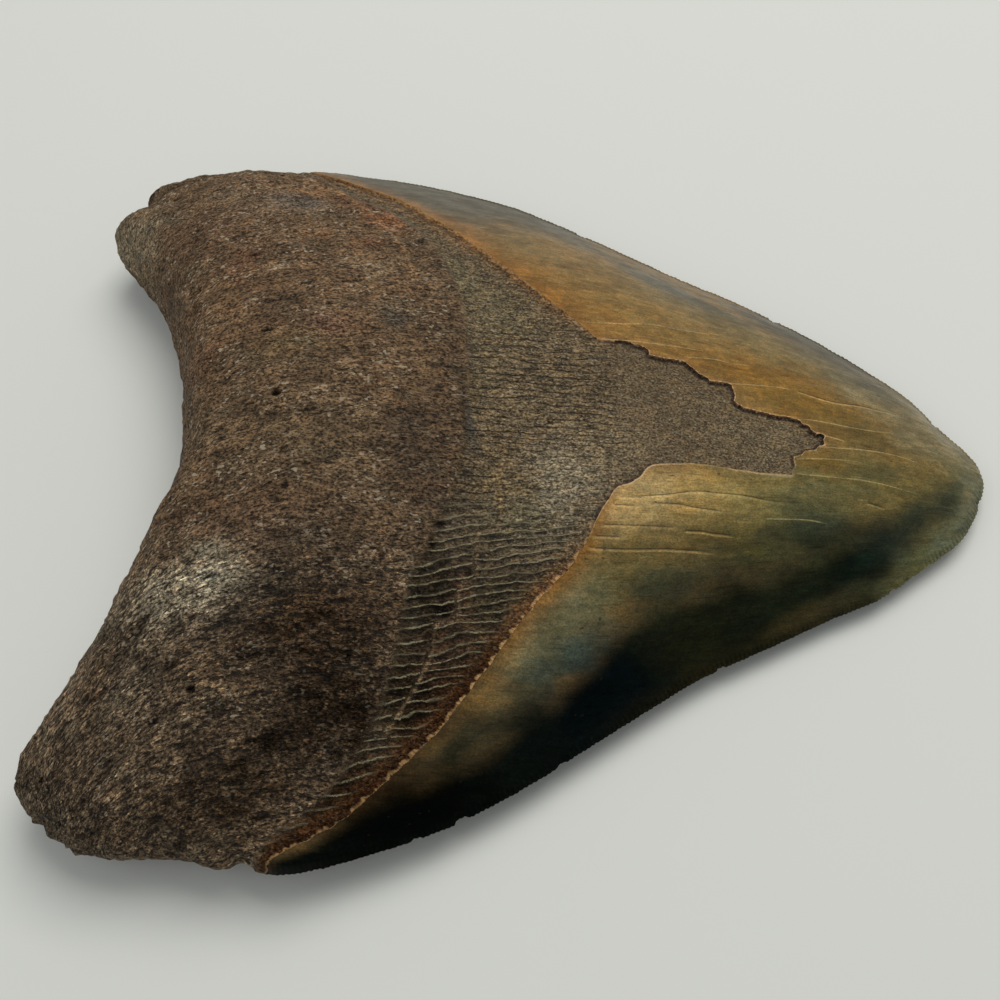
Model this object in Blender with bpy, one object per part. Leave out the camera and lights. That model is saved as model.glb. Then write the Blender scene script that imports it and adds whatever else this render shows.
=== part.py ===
"""Megalodon tooth, lying on its flat labial face: one solid, root towards -X, crown tip towards +X.

Lengths are in millimetres until the mesh is made, which scales them by MM. The origin is under the
middle of the bounding box, on the plane the tooth rests on.
"""

import bmesh
import bpy
import numpy as np
from mathutils.geometry import delaunay_2d_cdt

MM = 0.001

# Driving sizes
ROOT_THICKNESS = 28.0  # at the lingual bulge of the root, the thickest place
CROWN_THICKNESS = 25.0  # where the crown leaves the root, on the midline
EDGE_HEIGHT_AT_TIP = 3.0  # cutting edges above the resting plane
EDGE_HEIGHT_AT_ROOT = 8.5  # widest line of the root's sides above the resting plane
ROOT_SHOULDER = 14.0  # height of the root's outer sides before they round over
UPPER_ROUNDING = 8.0  # how far in from the outline the root's upper side rounds over
LOWER_ROUNDING = 7.0  # the same for its underside
BLADE_WIDTH = 1.5  # width of the thin strip along the cutting edges
NECK_DEPTH = 0.6  # the bare neck between root and enamel is sunk by this much
ROOT_STEP_WIDTH = 1.0  # plan width of the slope from the root down to the neck
ENAMEL_STEP_WIDTH = 0.4  # plan width of the steeper step from the neck up to the enamel
NECK_FADE = 6.0  # the neck comes level again within this distance of the outline
LABIAL_HOLLOW_DEPTH = 1.2  # shallow hollow under the root, off the resting plane
LABIAL_HOLLOW_CENTRE = (-24.0, 2.0)
LABIAL_HOLLOW_RADIUS = 17.0

# Mesh spacing
OUTLINE_SPACING = 2.0
UPPER_SPACING = 2.7
LOWER_SPACING = 3.8
FLAT_SPACING = 9.0
RIM_SHARES = (0.015, 0.06, 0.18, 0.37, 0.63, 1.0)  # rows of points along a rounding's width
SHARP_ANGLE = 35.0  # degrees

# Plan outline, clockwise from above, starting at the +Y root lobe
LOBE_PLUS_Y = [
    (-62.0, 44.6), (-63.1, 48.4), (-60.9, 51.4), (-57.8, 53.4), (-58.6, 55.4), (-56.6, 58.0),
    (-51.9, 59.8), (-45.9, 61.0), (-40.0, 61.6), (-35.0, 61.9), (-31.8, 61.2),
]
EDGE_PLUS_Y = [
    (-30.6, 62.2), (-24.0, 62.9), (-15.5, 62.0), (-6.4, 60.0), (4.0, 56.5), (12.7, 51.8),
    (23.0, 45.4), (32.0, 39.6), (40.0, 34.9), (52.3, 26.3), (60.3, 19.4), (66.0, 13.6),
    (69.4, 8.3), (72.0, 4.8), (74.0, 1.3),
]
TIP = [(74.3, -2.5), (72.7, -6.4), (70.9, -9.5)]
EDGE_MINUS_Y = [
    (68.3, -12.6), (65.2, -14.8), (61.6, -17.1), (55.0, -21.3), (47.6, -24.2), (39.0, -27.9),
    (27.0, -33.1), (20.2, -37.0), (10.8, -42.6), (2.0, -47.9), (-8.8, -53.3), (-17.7, -56.3),
    (-28.0, -58.8), (-32.4, -58.7),
]
LOBE_MINUS_Y = [
    (-34.4, -57.3), (-37.9, -57.8), (-44.5, -56.3), (-51.8, -56.1), (-55.8, -55.2),
    (-60.0, -53.1), (-63.7, -49.9), (-65.6, -46.8), (-65.4, -43.2), (-64.0, -39.6),
]
ARCH = [
    (-60.6, -34.0), (-56.2, -25.2), (-53.0, -17.4), (-50.3, -10.0), (-47.6, -3.8), (-47.2, 2.0),
    (-47.7, 8.5), (-48.4, 15.5), (-50.6, 23.3), (-52.9, 30.5), (-56.4, 36.8), (-59.6, 41.0),
]

# Where the enamel ends on the lingual (upper) face: smooth flanks and a broken, jagged front
MARGIN_FLANK_PLUS_Y = [
    (-29.5, 60.5), (-22.6, 56.3), (-15.0, 50.7), (-9.4, 44.2), (-4.5, 38.4), (3.0, 28.8),
    (10.9, 19.3), (15.3, 14.2),
]
MARGIN_JAGGED = [
    (18.0, 14.3), (20.3, 14.3), (22.6, 13.2), (22.7, 11.9), (24.4, 11.6), (28.0, 11.5),
    (29.4, 9.9), (31.2, 8.2), (34.5, 8.3), (34.8, 6.3), (34.8, 4.7), (36.6, 3.8), (40.2, 3.3),
    (44.2, 3.1), (45.9, 2.2), (46.8, 1.0), (48.0, 0.8), (47.1, -0.3), (46.1, -1.1), (44.1, -1.9),
    (42.8, -2.8), (42.3, -5.7),
]
MARGIN_FLANK_MINUS_Y = [
    (37.3, -5.9), (32.1, -5.7), (28.0, -5.5), (23.7, -5.9), (21.3, -6.6), (19.2, -8.6),
    (16.0, -10.3), (13.8, -13.2), (11.6, -17.5), (8.8, -21.4), (3.5, -26.8), (-2.4, -34.0),
    (-9.0, -41.7), (-16.9, -48.5), (-22.5, -52.9), (-30.5, -57.2),
]
# Where the neck begins, on the root's side
NECK_LINE = [
    (-28.0, 57.6), (-22.6, 51.0), (-14.3, 43.3), (-7.8, 32.5), (-4.5, 20.2), (-3.5, 10.1),
    (-3.9, 1.3), (-5.8, -10.5), (-8.7, -17.7), (-12.2, -24.6), (-14.1, -32.8), (-16.8, -40.7),
    (-20.4, -46.6), (-25.2, -51.6), (-30.5, -55.4),
]

# Heights along X, as (x, height)
MIDLINE = [
    (-72.0, 17.0), (-60.0, 20.0), (-50.0, 23.0), (-40.0, 26.0), (-25.0, ROOT_THICKNESS),
    (-10.0, 26.8), (0.0, CROWN_THICKNESS), (20.0, 21.2), (40.0, 16.0), (50.0, 13.1),
    (60.0, 9.9), (66.0, 7.8), (70.0, 6.0), (73.0, 4.3), (75.0, 3.2),
]
EDGE_LINE = [
    (-72.0, EDGE_HEIGHT_AT_ROOT), (-40.0, EDGE_HEIGHT_AT_ROOT), (-30.0, 7.6), (-15.0, 6.3),
    (0.0, 5.0), (20.0, 4.1), (40.0, 3.5), (60.0, 3.2), (75.0, EDGE_HEIGHT_AT_TIP),
]
SHOULDER_LINE = [
    (-72.0, 12.5), (-55.0, ROOT_SHOULDER), (-42.0, ROOT_SHOULDER), (-34.0, 11.8), (-26.0, 8.6),
    (-18.0, 6.7), (-10.0, 5.9), (0.0, 5.0), (20.0, 4.1), (40.0, 3.5), (60.0, 3.2),
    (75.0, EDGE_HEIGHT_AT_TIP),
]
DOME_POWER = 2.05  # 2 is a parabola from side to side
ROOT_STARTS_AT_X = -26.0
ROOT_BLEND_LENGTH = 12.0
LABIAL_RISE = 0.55  # share of the half width over which the crown's underside curves up to its edge

BONE_COLOUR = (0.075, 0.052, 0.036, 1.0)
BONE_ROUGHNESS = 0.62


def curve_value(x, knots):
    """Height of a smooth curve through the knots, with no overshoot between them."""
    table = np.asarray(knots, dtype=float)
    xs = table[:, 0]
    ys = table[:, 1]
    gaps = np.diff(xs)
    slopes = np.diff(ys) / gaps
    before = slopes[:-1]
    after = slopes[1:]
    same_sign = before * after > 0
    total = np.where(same_sign, before + after, 1.0)
    inner = np.where(same_sign, 2 * before * after / total, 0.0)
    tangents = np.concatenate([slopes[:1], inner, slopes[-1:]])
    x = np.clip(x, xs[0], xs[-1])
    i = np.clip(np.searchsorted(xs, x, side="right") - 1, 0, len(gaps) - 1)
    t = (x - xs[i]) / gaps[i]
    rise = (3 - 2 * t) * t * t
    lead = t * (1 - t) ** 2 * gaps[i] * tangents[i]
    trail = t * t * (t - 1) * gaps[i] * tangents[i + 1]
    return ys[i] + (ys[i + 1] - ys[i]) * rise + lead + trail


def smooth_line(points, spacing, closed=False):
    """Points about one spacing apart on a centripetal Catmull-Rom curve through the given points."""
    p = np.asarray(points, dtype=float)
    if not closed:
        p = np.vstack([2 * p[0] - p[1], p, 2 * p[-1] - p[-2]])
    count = len(p)
    spans = range(count) if closed else range(1, count - 2)
    line = []
    for i in spans:
        four = [p[(i + k) % count] for k in (-1, 0, 1, 2)]
        line.extend(catmull_rom_span(four, spacing))
    if not closed:
        line.append(p[-2])
    return np.array(line)


def catmull_rom_span(four, spacing):
    """Points from the second of four control points up to, but not at, the third."""
    a, b, c, d = four
    t = np.cumsum([0.0] + [np.linalg.norm(q - p) ** 0.5 for p, q in ((a, b), (b, c), (c, d))])
    steps = max(1, round(np.linalg.norm(c - b) / spacing))
    span = []
    for u in t[1] + (t[2] - t[1]) * np.arange(steps) / steps:
        ab = a + (b - a) * (u - t[0]) / (t[1] - t[0])
        bc = b + (c - b) * (u - t[1]) / (t[2] - t[1])
        cd = c + (d - c) * (u - t[2]) / (t[3] - t[2])
        abc = ab + (bc - ab) * (u - t[0]) / (t[2] - t[0])
        bcd = bc + (cd - bc) * (u - t[1]) / (t[3] - t[1])
        span.append(abc + (bcd - abc) * (u - t[1]) / (t[2] - t[1]))
    return span


def distance_to_line(points, line, closed=False):
    """Shortest plan distance from each point to a polyline."""
    starts = line if closed else line[:-1]
    ends = np.roll(line, -1, axis=0) if closed else line[1:]
    along = ends - starts
    lengths = (along**2).sum(axis=1)
    shortest = np.full(len(points), np.inf)
    for start, vector, length in zip(starts, along, lengths):
        offset = points - start
        t = np.clip(offset @ vector / length, 0, 1)
        gap = offset - t[:, None] * vector
        shortest = np.minimum(shortest, np.hypot(gap[:, 0], gap[:, 1]))
    return shortest


def is_inside(points, polygon):
    """True for each point inside the closed polygon."""
    inside = np.zeros(len(points), dtype=bool)
    x = points[:, 0]
    y = points[:, 1]
    for a, b in zip(polygon, np.roll(polygon, -1, axis=0)):
        if a[1] == b[1]:
            continue
        spans = (a[1] > y) != (b[1] > y)
        crossing = a[0] + (y - a[1]) * (b[0] - a[0]) / (b[1] - a[1])
        inside ^= spans & (x < crossing)
    return inside


def side_position(points):
    """Place across the tooth, -1 at its -Y side and +1 at its +Y side, and the half width there."""
    x = points[:, 0]
    plus = [(-75.0, EDGE_PLUS_Y[0][1])] + EDGE_PLUS_Y + [(75.5, -0.5)]
    minus = [(-75.0, EDGE_MINUS_Y[-1][1])] + EDGE_MINUS_Y[::-1] + TIP[::-1] + [(75.5, -2.5)]
    upper = curve_value(x, plus)
    lower = curve_value(x, minus)
    half_width = (upper - lower) / 2
    return np.clip((points[:, 1] - (upper + lower) / 2) / half_width, -1, 1), half_width


def root_share(x):
    """0 on the crown, 1 on the root, with a smooth change between."""
    t = np.clip((ROOT_STARTS_AT_X - x) / ROOT_BLEND_LENGTH, 0, 1)
    return t * t * (3 - 2 * t)


def quarter_round(depth, width):
    """0 at the outline, 1 from one width inwards, along a quarter of an ellipse."""
    t = 1 - np.clip(depth / width, 0, 1)
    return np.sqrt(1 - t * t)


def tip_side_share(points, line, step_width):
    """0 on the root's side of a line across the tooth, climbing to 1 on the tip's side."""
    beyond_tip = np.array([(120.0, -90.0), (120.0, 90.0)])
    past = is_inside(points, np.vstack([line, beyond_tip]))
    return past * np.clip(distance_to_line(points, line) / step_width, 0, 1)


def lingual_height(points, depth, neck_line, margin):
    """Height of the upper face; depth is each point's distance from the outline."""
    x = points[:, 0]
    across, _ = side_position(points)
    edge = curve_value(x, EDGE_LINE)
    shoulder = curve_value(x, SHOULDER_LINE)
    dome = shoulder + (curve_value(x, MIDLINE) - shoulder) * (1 - np.abs(across) ** DOME_POWER)
    root = root_share(x)
    rounded = quarter_round(depth, UPPER_ROUNDING)
    blade = np.clip(depth / BLADE_WIDTH, 0, 1)
    body = edge + (dome - edge) * (root * rounded + (1 - root) * blade)
    past_root = tip_side_share(points, neck_line, ROOT_STEP_WIDTH)
    past_neck = tip_side_share(points, margin, ENAMEL_STEP_WIDTH)
    fade = np.clip(depth / NECK_FADE, 0, 1)
    return body - NECK_DEPTH * past_root * (1 - past_neck) * fade


def labial_height(points, depth):
    """Height of the lower face, which is flat at zero over its middle."""
    x = points[:, 0]
    _, half_width = side_position(points)
    root = root_share(x)
    root_rise = 1 - quarter_round(depth, LOWER_ROUNDING)
    crown_rise = (1 - np.clip(depth / np.maximum(LABIAL_RISE * half_width, 4.0), 0, 1)) ** 2
    rise = curve_value(x, EDGE_LINE) * (root * root_rise + (1 - root) * crown_rise)
    from_hollow = np.hypot(*(points - LABIAL_HOLLOW_CENTRE).T) / LABIAL_HOLLOW_RADIUS
    hollow = LABIAL_HOLLOW_DEPTH * np.clip(1 - from_hollow**2, 0, 1) ** 2
    return rise + hollow


def plan_grid(spacing, outline):
    """Points of a triangular grid over the outline's box."""
    low = outline.min(axis=0)
    high = outline.max(axis=0)
    rows = np.arange(low[1], high[1], spacing * 0.866)
    grid = []
    for number, y in enumerate(rows):
        xs = np.arange(low[0] + (number % 2) * spacing / 2, high[0], spacing)
        grid.append(np.column_stack([xs, np.full(len(xs), y)]))
    return np.vstack(grid)


def inset_rows(outline, width):
    """Rows of points inside the outline, at the rim's shares of a rounding's width."""
    along = np.roll(outline, -1, axis=0) - np.roll(outline, 1, axis=0)
    inward = np.column_stack([along[:, 1], -along[:, 0]])
    inward /= np.linalg.norm(inward, axis=1)[:, None]
    rows = []
    for share in RIM_SHARES:
        depth = share * width
        row = outline + inward * depth
        clear = distance_to_line(row, outline, closed=True) > 0.95 * depth
        rows.append(row[clear & is_inside(row, outline)])
    return rows


def offset_line(line, distance):
    """The polyline moved sideways, to the left of its direction."""
    along = np.gradient(line, axis=0)
    left = np.column_stack([-along[:, 1], along[:, 0]])
    return line + distance * left / np.linalg.norm(left, axis=1)[:, None]


def triangulate(outline, loose, lines):
    """Plan points, outline first, and the Delaunay triangles that keep to the given lines."""
    points = [tuple(p) for p in outline]
    edges = [(i, (i + 1) % len(outline)) for i in range(len(outline))]
    for line in lines:
        first = len(points)
        points.extend(tuple(p) for p in line)
        edges.extend((first + i, first + i + 1) for i in range(len(line) - 1))
    points.extend(tuple(p) for p in loose)
    boundary = [list(range(len(outline)))]
    found, _, triangles, _, _, _ = delaunay_2d_cdt(points, edges, boundary, 1, 1e-5)
    return np.array([tuple(v) for v in found]), triangles


def upper_plan(outline, neck_line, margin):
    """Plan points and triangles of the lingual face, with rows of points along its steps."""
    lines = [
        neck_line,
        offset_line(neck_line, ROOT_STEP_WIDTH),
        margin,
        offset_line(margin, ENAMEL_STEP_WIDTH),
    ]
    grid = plan_grid(UPPER_SPACING, outline)
    depth = distance_to_line(grid, outline, closed=True)
    keep = is_inside(grid, outline) & (depth > UPPER_ROUNDING + UPPER_SPACING / 2)
    for line in lines:
        keep &= distance_to_line(grid, line) > UPPER_SPACING / 3
    rows = inset_rows(outline, UPPER_ROUNDING)
    return triangulate(outline, np.vstack(rows + [grid[keep]]), lines)


def lower_plan(outline):
    """Plan points and triangles of the labial face, with few points where it is flat."""
    rows = inset_rows(outline, LOWER_ROUNDING)
    kept = []
    for spacing, wants_flat in ((LOWER_SPACING, False), (FLAT_SPACING, True)):
        grid = plan_grid(spacing, outline)
        depth = distance_to_line(grid, outline, closed=True)
        keep = is_inside(grid, outline) & (depth > LOWER_ROUNDING + LOWER_SPACING / 2)
        is_flat = labial_height(grid, depth) == 0
        kept.append(grid[keep & (is_flat == wants_flat)])
    return triangulate(outline, np.vstack(rows + kept), [])


def solid_points(plan, heights, outline_count):
    """Three-dimensional points of one face, with the outline's own points at the edge height."""
    heights[:outline_count] = curve_value(plan[:outline_count, 0], EDGE_LINE)
    return np.column_stack([plan, heights])


def build_tooth():
    """One closed mesh: the upper and lower faces share the points of the outline."""
    outline = smooth_line(
        LOBE_PLUS_Y + EDGE_PLUS_Y + TIP + EDGE_MINUS_Y + LOBE_MINUS_Y + ARCH,
        OUTLINE_SPACING,
        closed=True,
    )
    neck_line = smooth_line(NECK_LINE, UPPER_SPACING)
    margin = np.vstack([
        smooth_line(MARGIN_FLANK_PLUS_Y, UPPER_SPACING),
        MARGIN_JAGGED,
        smooth_line(MARGIN_FLANK_MINUS_Y, UPPER_SPACING),
    ])
    count = len(outline)
    upper, upper_triangles = upper_plan(outline, neck_line, margin)
    lower, lower_triangles = lower_plan(outline)
    upper_depth = distance_to_line(upper, outline, closed=True)
    lower_depth = distance_to_line(lower, outline, closed=True)
    top = solid_points(upper, lingual_height(upper, upper_depth, neck_line, margin), count)
    bottom = solid_points(lower, labial_height(lower, lower_depth), count)

    middle = (outline.min(axis=0) + outline.max(axis=0)) / 2
    points = np.vstack([top, bottom[count:]]) - (middle[0], middle[1], 0.0)
    mesh = bmesh.new()
    verts = [mesh.verts.new(p * MM) for p in points]
    for triangle in upper_triangles:
        mesh.faces.new([verts[i] for i in triangle])
    for triangle in lower_triangles:
        shared = [i if i < count else i - count + len(top) for i in reversed(triangle)]
        mesh.faces.new([verts[i] for i in shared])
    bmesh.ops.recalc_face_normals(mesh, faces=mesh.faces)

    data = bpy.data.meshes.new("tooth")
    mesh.to_mesh(data)
    mesh.free()
    data.shade_smooth()
    data.set_sharp_from_angle(angle=np.radians(SHARP_ANGLE))
    data.materials.append(bone_material())
    tooth = bpy.data.objects.new("tooth", data)
    bpy.context.scene.collection.objects.link(tooth)
    return tooth


def bone_material():
    """Dark brown mineralised tooth."""
    material = bpy.data.materials.new("mineralised_tooth")
    material.use_nodes = True
    surface = material.node_tree.nodes["Principled BSDF"]
    surface.inputs["Base Color"].default_value = BONE_COLOUR
    surface.inputs["Roughness"].default_value = BONE_ROUGHNESS
    surface.inputs["Metallic"].default_value = 0.0
    return material


def clear_scene():
    """Start from no objects."""
    for thing in list(bpy.data.objects):
        bpy.data.objects.remove(thing, do_unlink=True)


clear_scene()
build_tooth()
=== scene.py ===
"""Looks of the megalodon tooth: one fine mesh, a painted mineral surface and a soft studio.

Plan lengths are in millimetres in the tooth's drawing frame and are scaled by MM when meshes are made.
"""

import itertools
import math

import bpy
import numpy as np
from mathutils import Matrix, Vector
from mathutils.geometry import delaunay_2d_cdt
from mathutils.kdtree import KDTree


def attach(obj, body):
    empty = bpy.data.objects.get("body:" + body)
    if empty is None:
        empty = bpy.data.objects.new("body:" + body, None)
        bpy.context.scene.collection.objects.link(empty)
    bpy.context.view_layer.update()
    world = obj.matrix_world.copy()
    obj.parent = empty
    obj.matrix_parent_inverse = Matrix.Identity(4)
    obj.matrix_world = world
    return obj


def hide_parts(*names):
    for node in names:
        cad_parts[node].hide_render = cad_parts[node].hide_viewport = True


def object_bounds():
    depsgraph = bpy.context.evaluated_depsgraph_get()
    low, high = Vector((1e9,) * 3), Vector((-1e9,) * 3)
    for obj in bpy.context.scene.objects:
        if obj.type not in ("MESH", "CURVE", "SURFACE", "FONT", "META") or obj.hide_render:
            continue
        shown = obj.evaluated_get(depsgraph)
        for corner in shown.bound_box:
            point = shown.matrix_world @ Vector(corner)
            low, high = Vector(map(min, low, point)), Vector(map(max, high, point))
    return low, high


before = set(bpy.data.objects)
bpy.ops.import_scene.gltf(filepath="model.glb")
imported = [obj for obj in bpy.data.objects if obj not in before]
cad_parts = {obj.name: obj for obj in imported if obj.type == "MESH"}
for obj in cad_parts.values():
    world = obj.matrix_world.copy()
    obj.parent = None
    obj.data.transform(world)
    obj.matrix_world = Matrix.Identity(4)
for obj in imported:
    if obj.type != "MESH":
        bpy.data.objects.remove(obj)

MM = 0.001
cad_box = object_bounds()

# ---------------------------------------------------------------- sizes of the tooth, as in the CAD
ROOT_THICKNESS = 28.0
CROWN_THICKNESS = 25.0
EDGE_HEIGHT_AT_TIP = 3.0
EDGE_HEIGHT_AT_ROOT = 8.5
ROOT_SHOULDER = 14.0
UPPER_ROUNDING = 8.0
LOWER_ROUNDING = 7.0
FINE_BLADE_WIDTH = 0.6
NECK_FADE = 6.0
LABIAL_HOLLOW_DEPTH = 1.2
LABIAL_HOLLOW_CENTRE = (-24.0, 2.0)
LABIAL_HOLLOW_RADIUS = 17.0
CAD_OUTLINE_SPACING = 2.0
DOME_POWER = 2.05
ROOT_STARTS_AT_X = -26.0
ROOT_BLEND_LENGTH = 12.0
LABIAL_RISE = 0.55

LOBE_PLUS_Y = [
    (-62, 44.6), (-63.1, 48.4), (-60.9, 51.4), (-57.8, 53.4), (-58.6, 55.4), (-56.6, 58),
    (-51.9, 59.8), (-45.9, 61), (-40, 61.6), (-35, 61.9), (-31.8, 61.2),
]
EDGE_PLUS_Y = [
    (-30.6, 62.2), (-24, 62.9), (-15.5, 62), (-6.4, 60), (4, 56.5), (12.7, 51.8),
    (23, 45.4), (32, 39.6), (40, 34.9), (52.3, 26.3), (60.3, 19.4), (66, 13.6),
    (69.4, 8.3), (72, 4.8), (74, 1.3),
]
TIP = [(74.3, -2.5), (72.7, -6.4), (70.9, -9.5)]
EDGE_MINUS_Y = [
    (68.3, -12.6), (65.2, -14.8), (61.6, -17.1), (55, -21.3), (47.6, -24.2), (39, -27.9),
    (27, -33.1), (20.2, -37), (10.8, -42.6), (2, -47.9), (-8.8, -53.3), (-17.7, -56.3),
    (-28, -58.8), (-32.4, -58.7),
]
LOBE_MINUS_Y = [
    (-34.4, -57.3), (-37.9, -57.8), (-44.5, -56.3), (-51.8, -56.1), (-55.8, -55.2),
    (-60, -53.1), (-63.7, -49.9), (-65.6, -46.8), (-65.4, -43.2), (-64, -39.6),
]
ARCH = [
    (-60.6, -34), (-56.2, -25.2), (-53, -17.4), (-50.3, -10), (-47.6, -3.8), (-47.2, 2),
    (-47.7, 8.5), (-48.4, 15.5), (-50.6, 23.3), (-52.9, 30.5), (-56.4, 36.8), (-59.6, 41),
]

MARGIN_FLANK_PLUS_Y = [
    (-29.5, 60.5), (-22.6, 56.3), (-15, 50.7), (-9.4, 44.2), (-4.5, 38.4), (3, 28.8),
    (10.9, 19.3), (15.3, 14.2),
]
MARGIN_JAGGED = [
    (18, 14.3), (20, 14.3), (20.4, 13.9), (21.9, 13.6), (22.7, 13), (22.6, 12.1),
    (23.8, 11.7), (28, 11.5), (28.6, 10.9), (29.5, 9.9), (29.9, 9.4), (31, 8.9), (31.4, 8.2),
    (34.5, 8.3), (34.8, 7.4), (34.9, 6), (34.5, 5.2), (35.2, 4.6), (36.4, 3.9), (38.7, 3.6),
    (40.4, 3.3), (43, 3.2), (44.5, 3), (44.8, 2.3), (45.8, 2.2), (46, 1.5), (46.8, 1),
    (48, 0.9), (47.6, 0.3), (47.8, -0.3), (46.9, -0.6), (46.3, -1.3), (44.5, -1.7),
    (44.1, -2.3), (43.3, -2.6), (42.7, -2.8), (42.5, -3.6), (42.7, -4.3), (42.2, -5.1),
    (42.3, -5.7),
]
MARGIN_FLANK_MINUS_Y = [
    (37.3, -5.9), (32.1, -5.7), (28, -5.5), (23.7, -5.9), (21.3, -6.6), (19.2, -8.6),
    (16, -10.3), (13.8, -13.2), (11.6, -17.5), (8.8, -21.4), (3.5, -26.8), (-2.4, -34),
    (-9, -41.7), (-16.9, -48.5), (-22.5, -52.9), (-30.5, -57.2),
]
NECK_LINE = [
    (-28, 57.6), (-22.6, 51), (-14.3, 43.3), (-7.8, 32.5), (-4.5, 20.2), (-3.5, 10.1),
    (-3.9, 1.3), (-5.8, -10.5), (-8.7, -17.7), (-12.2, -24.6), (-14.1, -32.8), (-16.8, -40.7),
    (-20.4, -46.6), (-25.2, -51.6), (-30.5, -55.4),
]
# Where the enamel ends on the labial (lower) face
LABIAL_MARGIN = [
    (-29.5, 60.5), (-31, 52), (-29, 38), (-25.5, 22), (-23.5, 4), (-24.5, -14),
    (-28, -32), (-31.5, -46), (-31, -57),
]

MIDLINE = [
    (-72, 17), (-60, 20), (-50, 23), (-40, 26), (-25, ROOT_THICKNESS),
    (-10, 26.8), (0, CROWN_THICKNESS), (20, 21.2), (40, 16), (50, 13.1),
    (60, 9.9), (66, 7.8), (70, 6), (73, 4.3), (75, 3.2),
]
EDGE_LINE = [
    (-72, EDGE_HEIGHT_AT_ROOT), (-40, EDGE_HEIGHT_AT_ROOT), (-30, 7.6), (-15, 6.3),
    (0, 5), (20, 4.1), (40, 3.5), (60, 3.2), (75, EDGE_HEIGHT_AT_TIP),
]
SHOULDER_LINE = [
    (-72, 12.5), (-55, ROOT_SHOULDER), (-42, ROOT_SHOULDER), (-34, 11.8), (-26, 8.6),
    (-18, 6.7), (-10, 5.9), (0, 5), (20, 4.1), (40, 3.5), (60, 3.2),
    (75, EDGE_HEIGHT_AT_TIP),
]

# ---------------------------------------------------------------- fine surface
SKIN_MARGIN = 0.12  # the fine surface stays this far inside the CAD's
EDGE_MARGIN = 0.14  # and its outline this much further in
CROWN_STARTS_AT_X = -33.0
CROWN_OUTLINE_SPACING = 0.185
ROOT_OUTLINE_STEP = 3  # the root's outline keeps every third point
NECK_SPACING = 0.34
ROOT_SPACING = 0.43
ENAMEL_SPACING = 0.68
LOWER_SPACING = 1.0
LINE_SPACING = 0.35
MARGIN_ROWS = (0.18, 0.42)  # rows of points on both sides of the enamel's edge
JAG_STEP = 0.3
JAG_ROUGHNESS = 0.13
FLANK_ROUGHNESS = 0.22
ENAMEL_STEP_WIDTH = 0.12
ENAMEL_STEP = 0.28  # height of the enamel's edge above the neck
NECK_STEP = 0.3  # height of the root above the neck
RIM_HEIGHT = 0.14  # raised lip along the enamel's near flank
FLAKE_STEP = 0.16
CRACK_WIDTH = 0.13
CRACK_DEPTH = 0.1
LIP_PLACE = 0.3  # from a crack's middle to the middle of its pale lip
PALE_LINE_HEIGHT = 0.05
SERRATION_PITCH = 0.74
SERRATION_DEPTH = 0.17
SERRATION_REACH = 1.5  # how far the notches run in over the faces
LABIAL_STEP = 0.25  # height of the root above the enamel's edge on the lower face
BONE_SWELL = 0.52  # the bone's relief is measured from this far outside the body
SUMMIT_SOFTENS_AT = 27.6  # height above which the relief is halved, to stay under the CAD's top
BOX_CLEARANCE = 0.03

# Scattered pits of the root: long radius, short radius as a share of it, depth, each low to high
PIT_LENGTH = (0.45, 1.1)
PIT_FLATNESS = (0.35, 0.8)
PIT_DEPTH = (0.15, 0.42)
PIT_REACH = 1.6
PIT_SEED = 5
# Their number and the box that they lie in: low x, high x, low y, high y
UPPER_PITS = (230, (-66, -8, -60, 62))
LOWER_PITS = (170, (-66, -24, -60, 62))
# How strongly the deepest pits are darkened: painted shade in the hollows
PIT_SHADE = 0.55

# How the plan is cut into triangles
COARSE_STEP = 4  # every fourth outline point is enough to tell inside from outside
MARGIN_CLEARANCE = 1.7  # the lines of vertices along the enamel's edge stop this near the outline
FLAKE_CLEARANCE = 3.0
BEYOND_TIP = [(120, -90), (120, 90)]  # closes a line across the tooth round the tip's side
FAR_OFF = -50.0  # a signed distance for vertices that a line doesn't concern
GRID_ROW = 0.866  # distance between a triangular grid's rows, in spacings
STILL_DEEP = 0.93  # a row's point is kept while the outline is this share of its depth away
BAND_GAP = 0.6  # grid points keep this share of their spacing from the outline's rows
LINE_GAP = 0.45  # and this share from the drawn lines
MERGE_WITHIN = 1e-5
INSIDE_ONLY = 1  # the triangulation's output is the outline's inside
RING_SHARES = (0.0, 0.45, 0.8, 1.05, 1.35)  # radii of the circles of points round an opening
RING_POINTS = 14

NOISE_GAIN = 1.7
BUMP_STRENGTH = 1.0
BUMP_DEPTH = 0.0004
NOISE_SPREAD = (0.38, 0.62)  # where most of a shader noise's values lie
WIDE_SPREAD = (0.36, 0.64)
BONE_GAIN = (1.04, 0.93, 0.79)  # turns a tone seen under the studio light into a base colour
NECK_GAIN = (0.86, 0.78, 0.64)
ENAMEL_GAIN = (0.92, 0.86, 0.74)

# Small nicks of the cutting edges: (x, y, radius, depth)
CHIPS = [
    (-6.5, -52.3, 1.3, 0.45), (-12.5, -54.8, 1, 0.3), (7.2, -44.9, 0.9, 0.25),
    (30.5, -31.6, 1, 0.25), (57, -19.9, 0.8, 0.2), (46.5, 30.5, 1, 0.25),
    (16, 49.8, 1.2, 0.25), (69, 9, 0.8, 0.2), (72.9, -5.9, 0.9, 0.2),
    (-61.8, -52.2, 1.5, 0.8), (-55, -56, 1.3, 0.6), (-42.5, -57.4, 1.4, 0.45),
    (-47.6, 2.2, 1, 0.4), (-59.4, 42, 1.2, 0.4), (-64.4, -41, 1.2, 0.3),
]


def rounding_rows(width, turns):
    """Depths of rows of points that climb a rounding by even angles."""
    return [width * (1 - math.cos(math.radians(turn))) for turn in turns]


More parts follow.
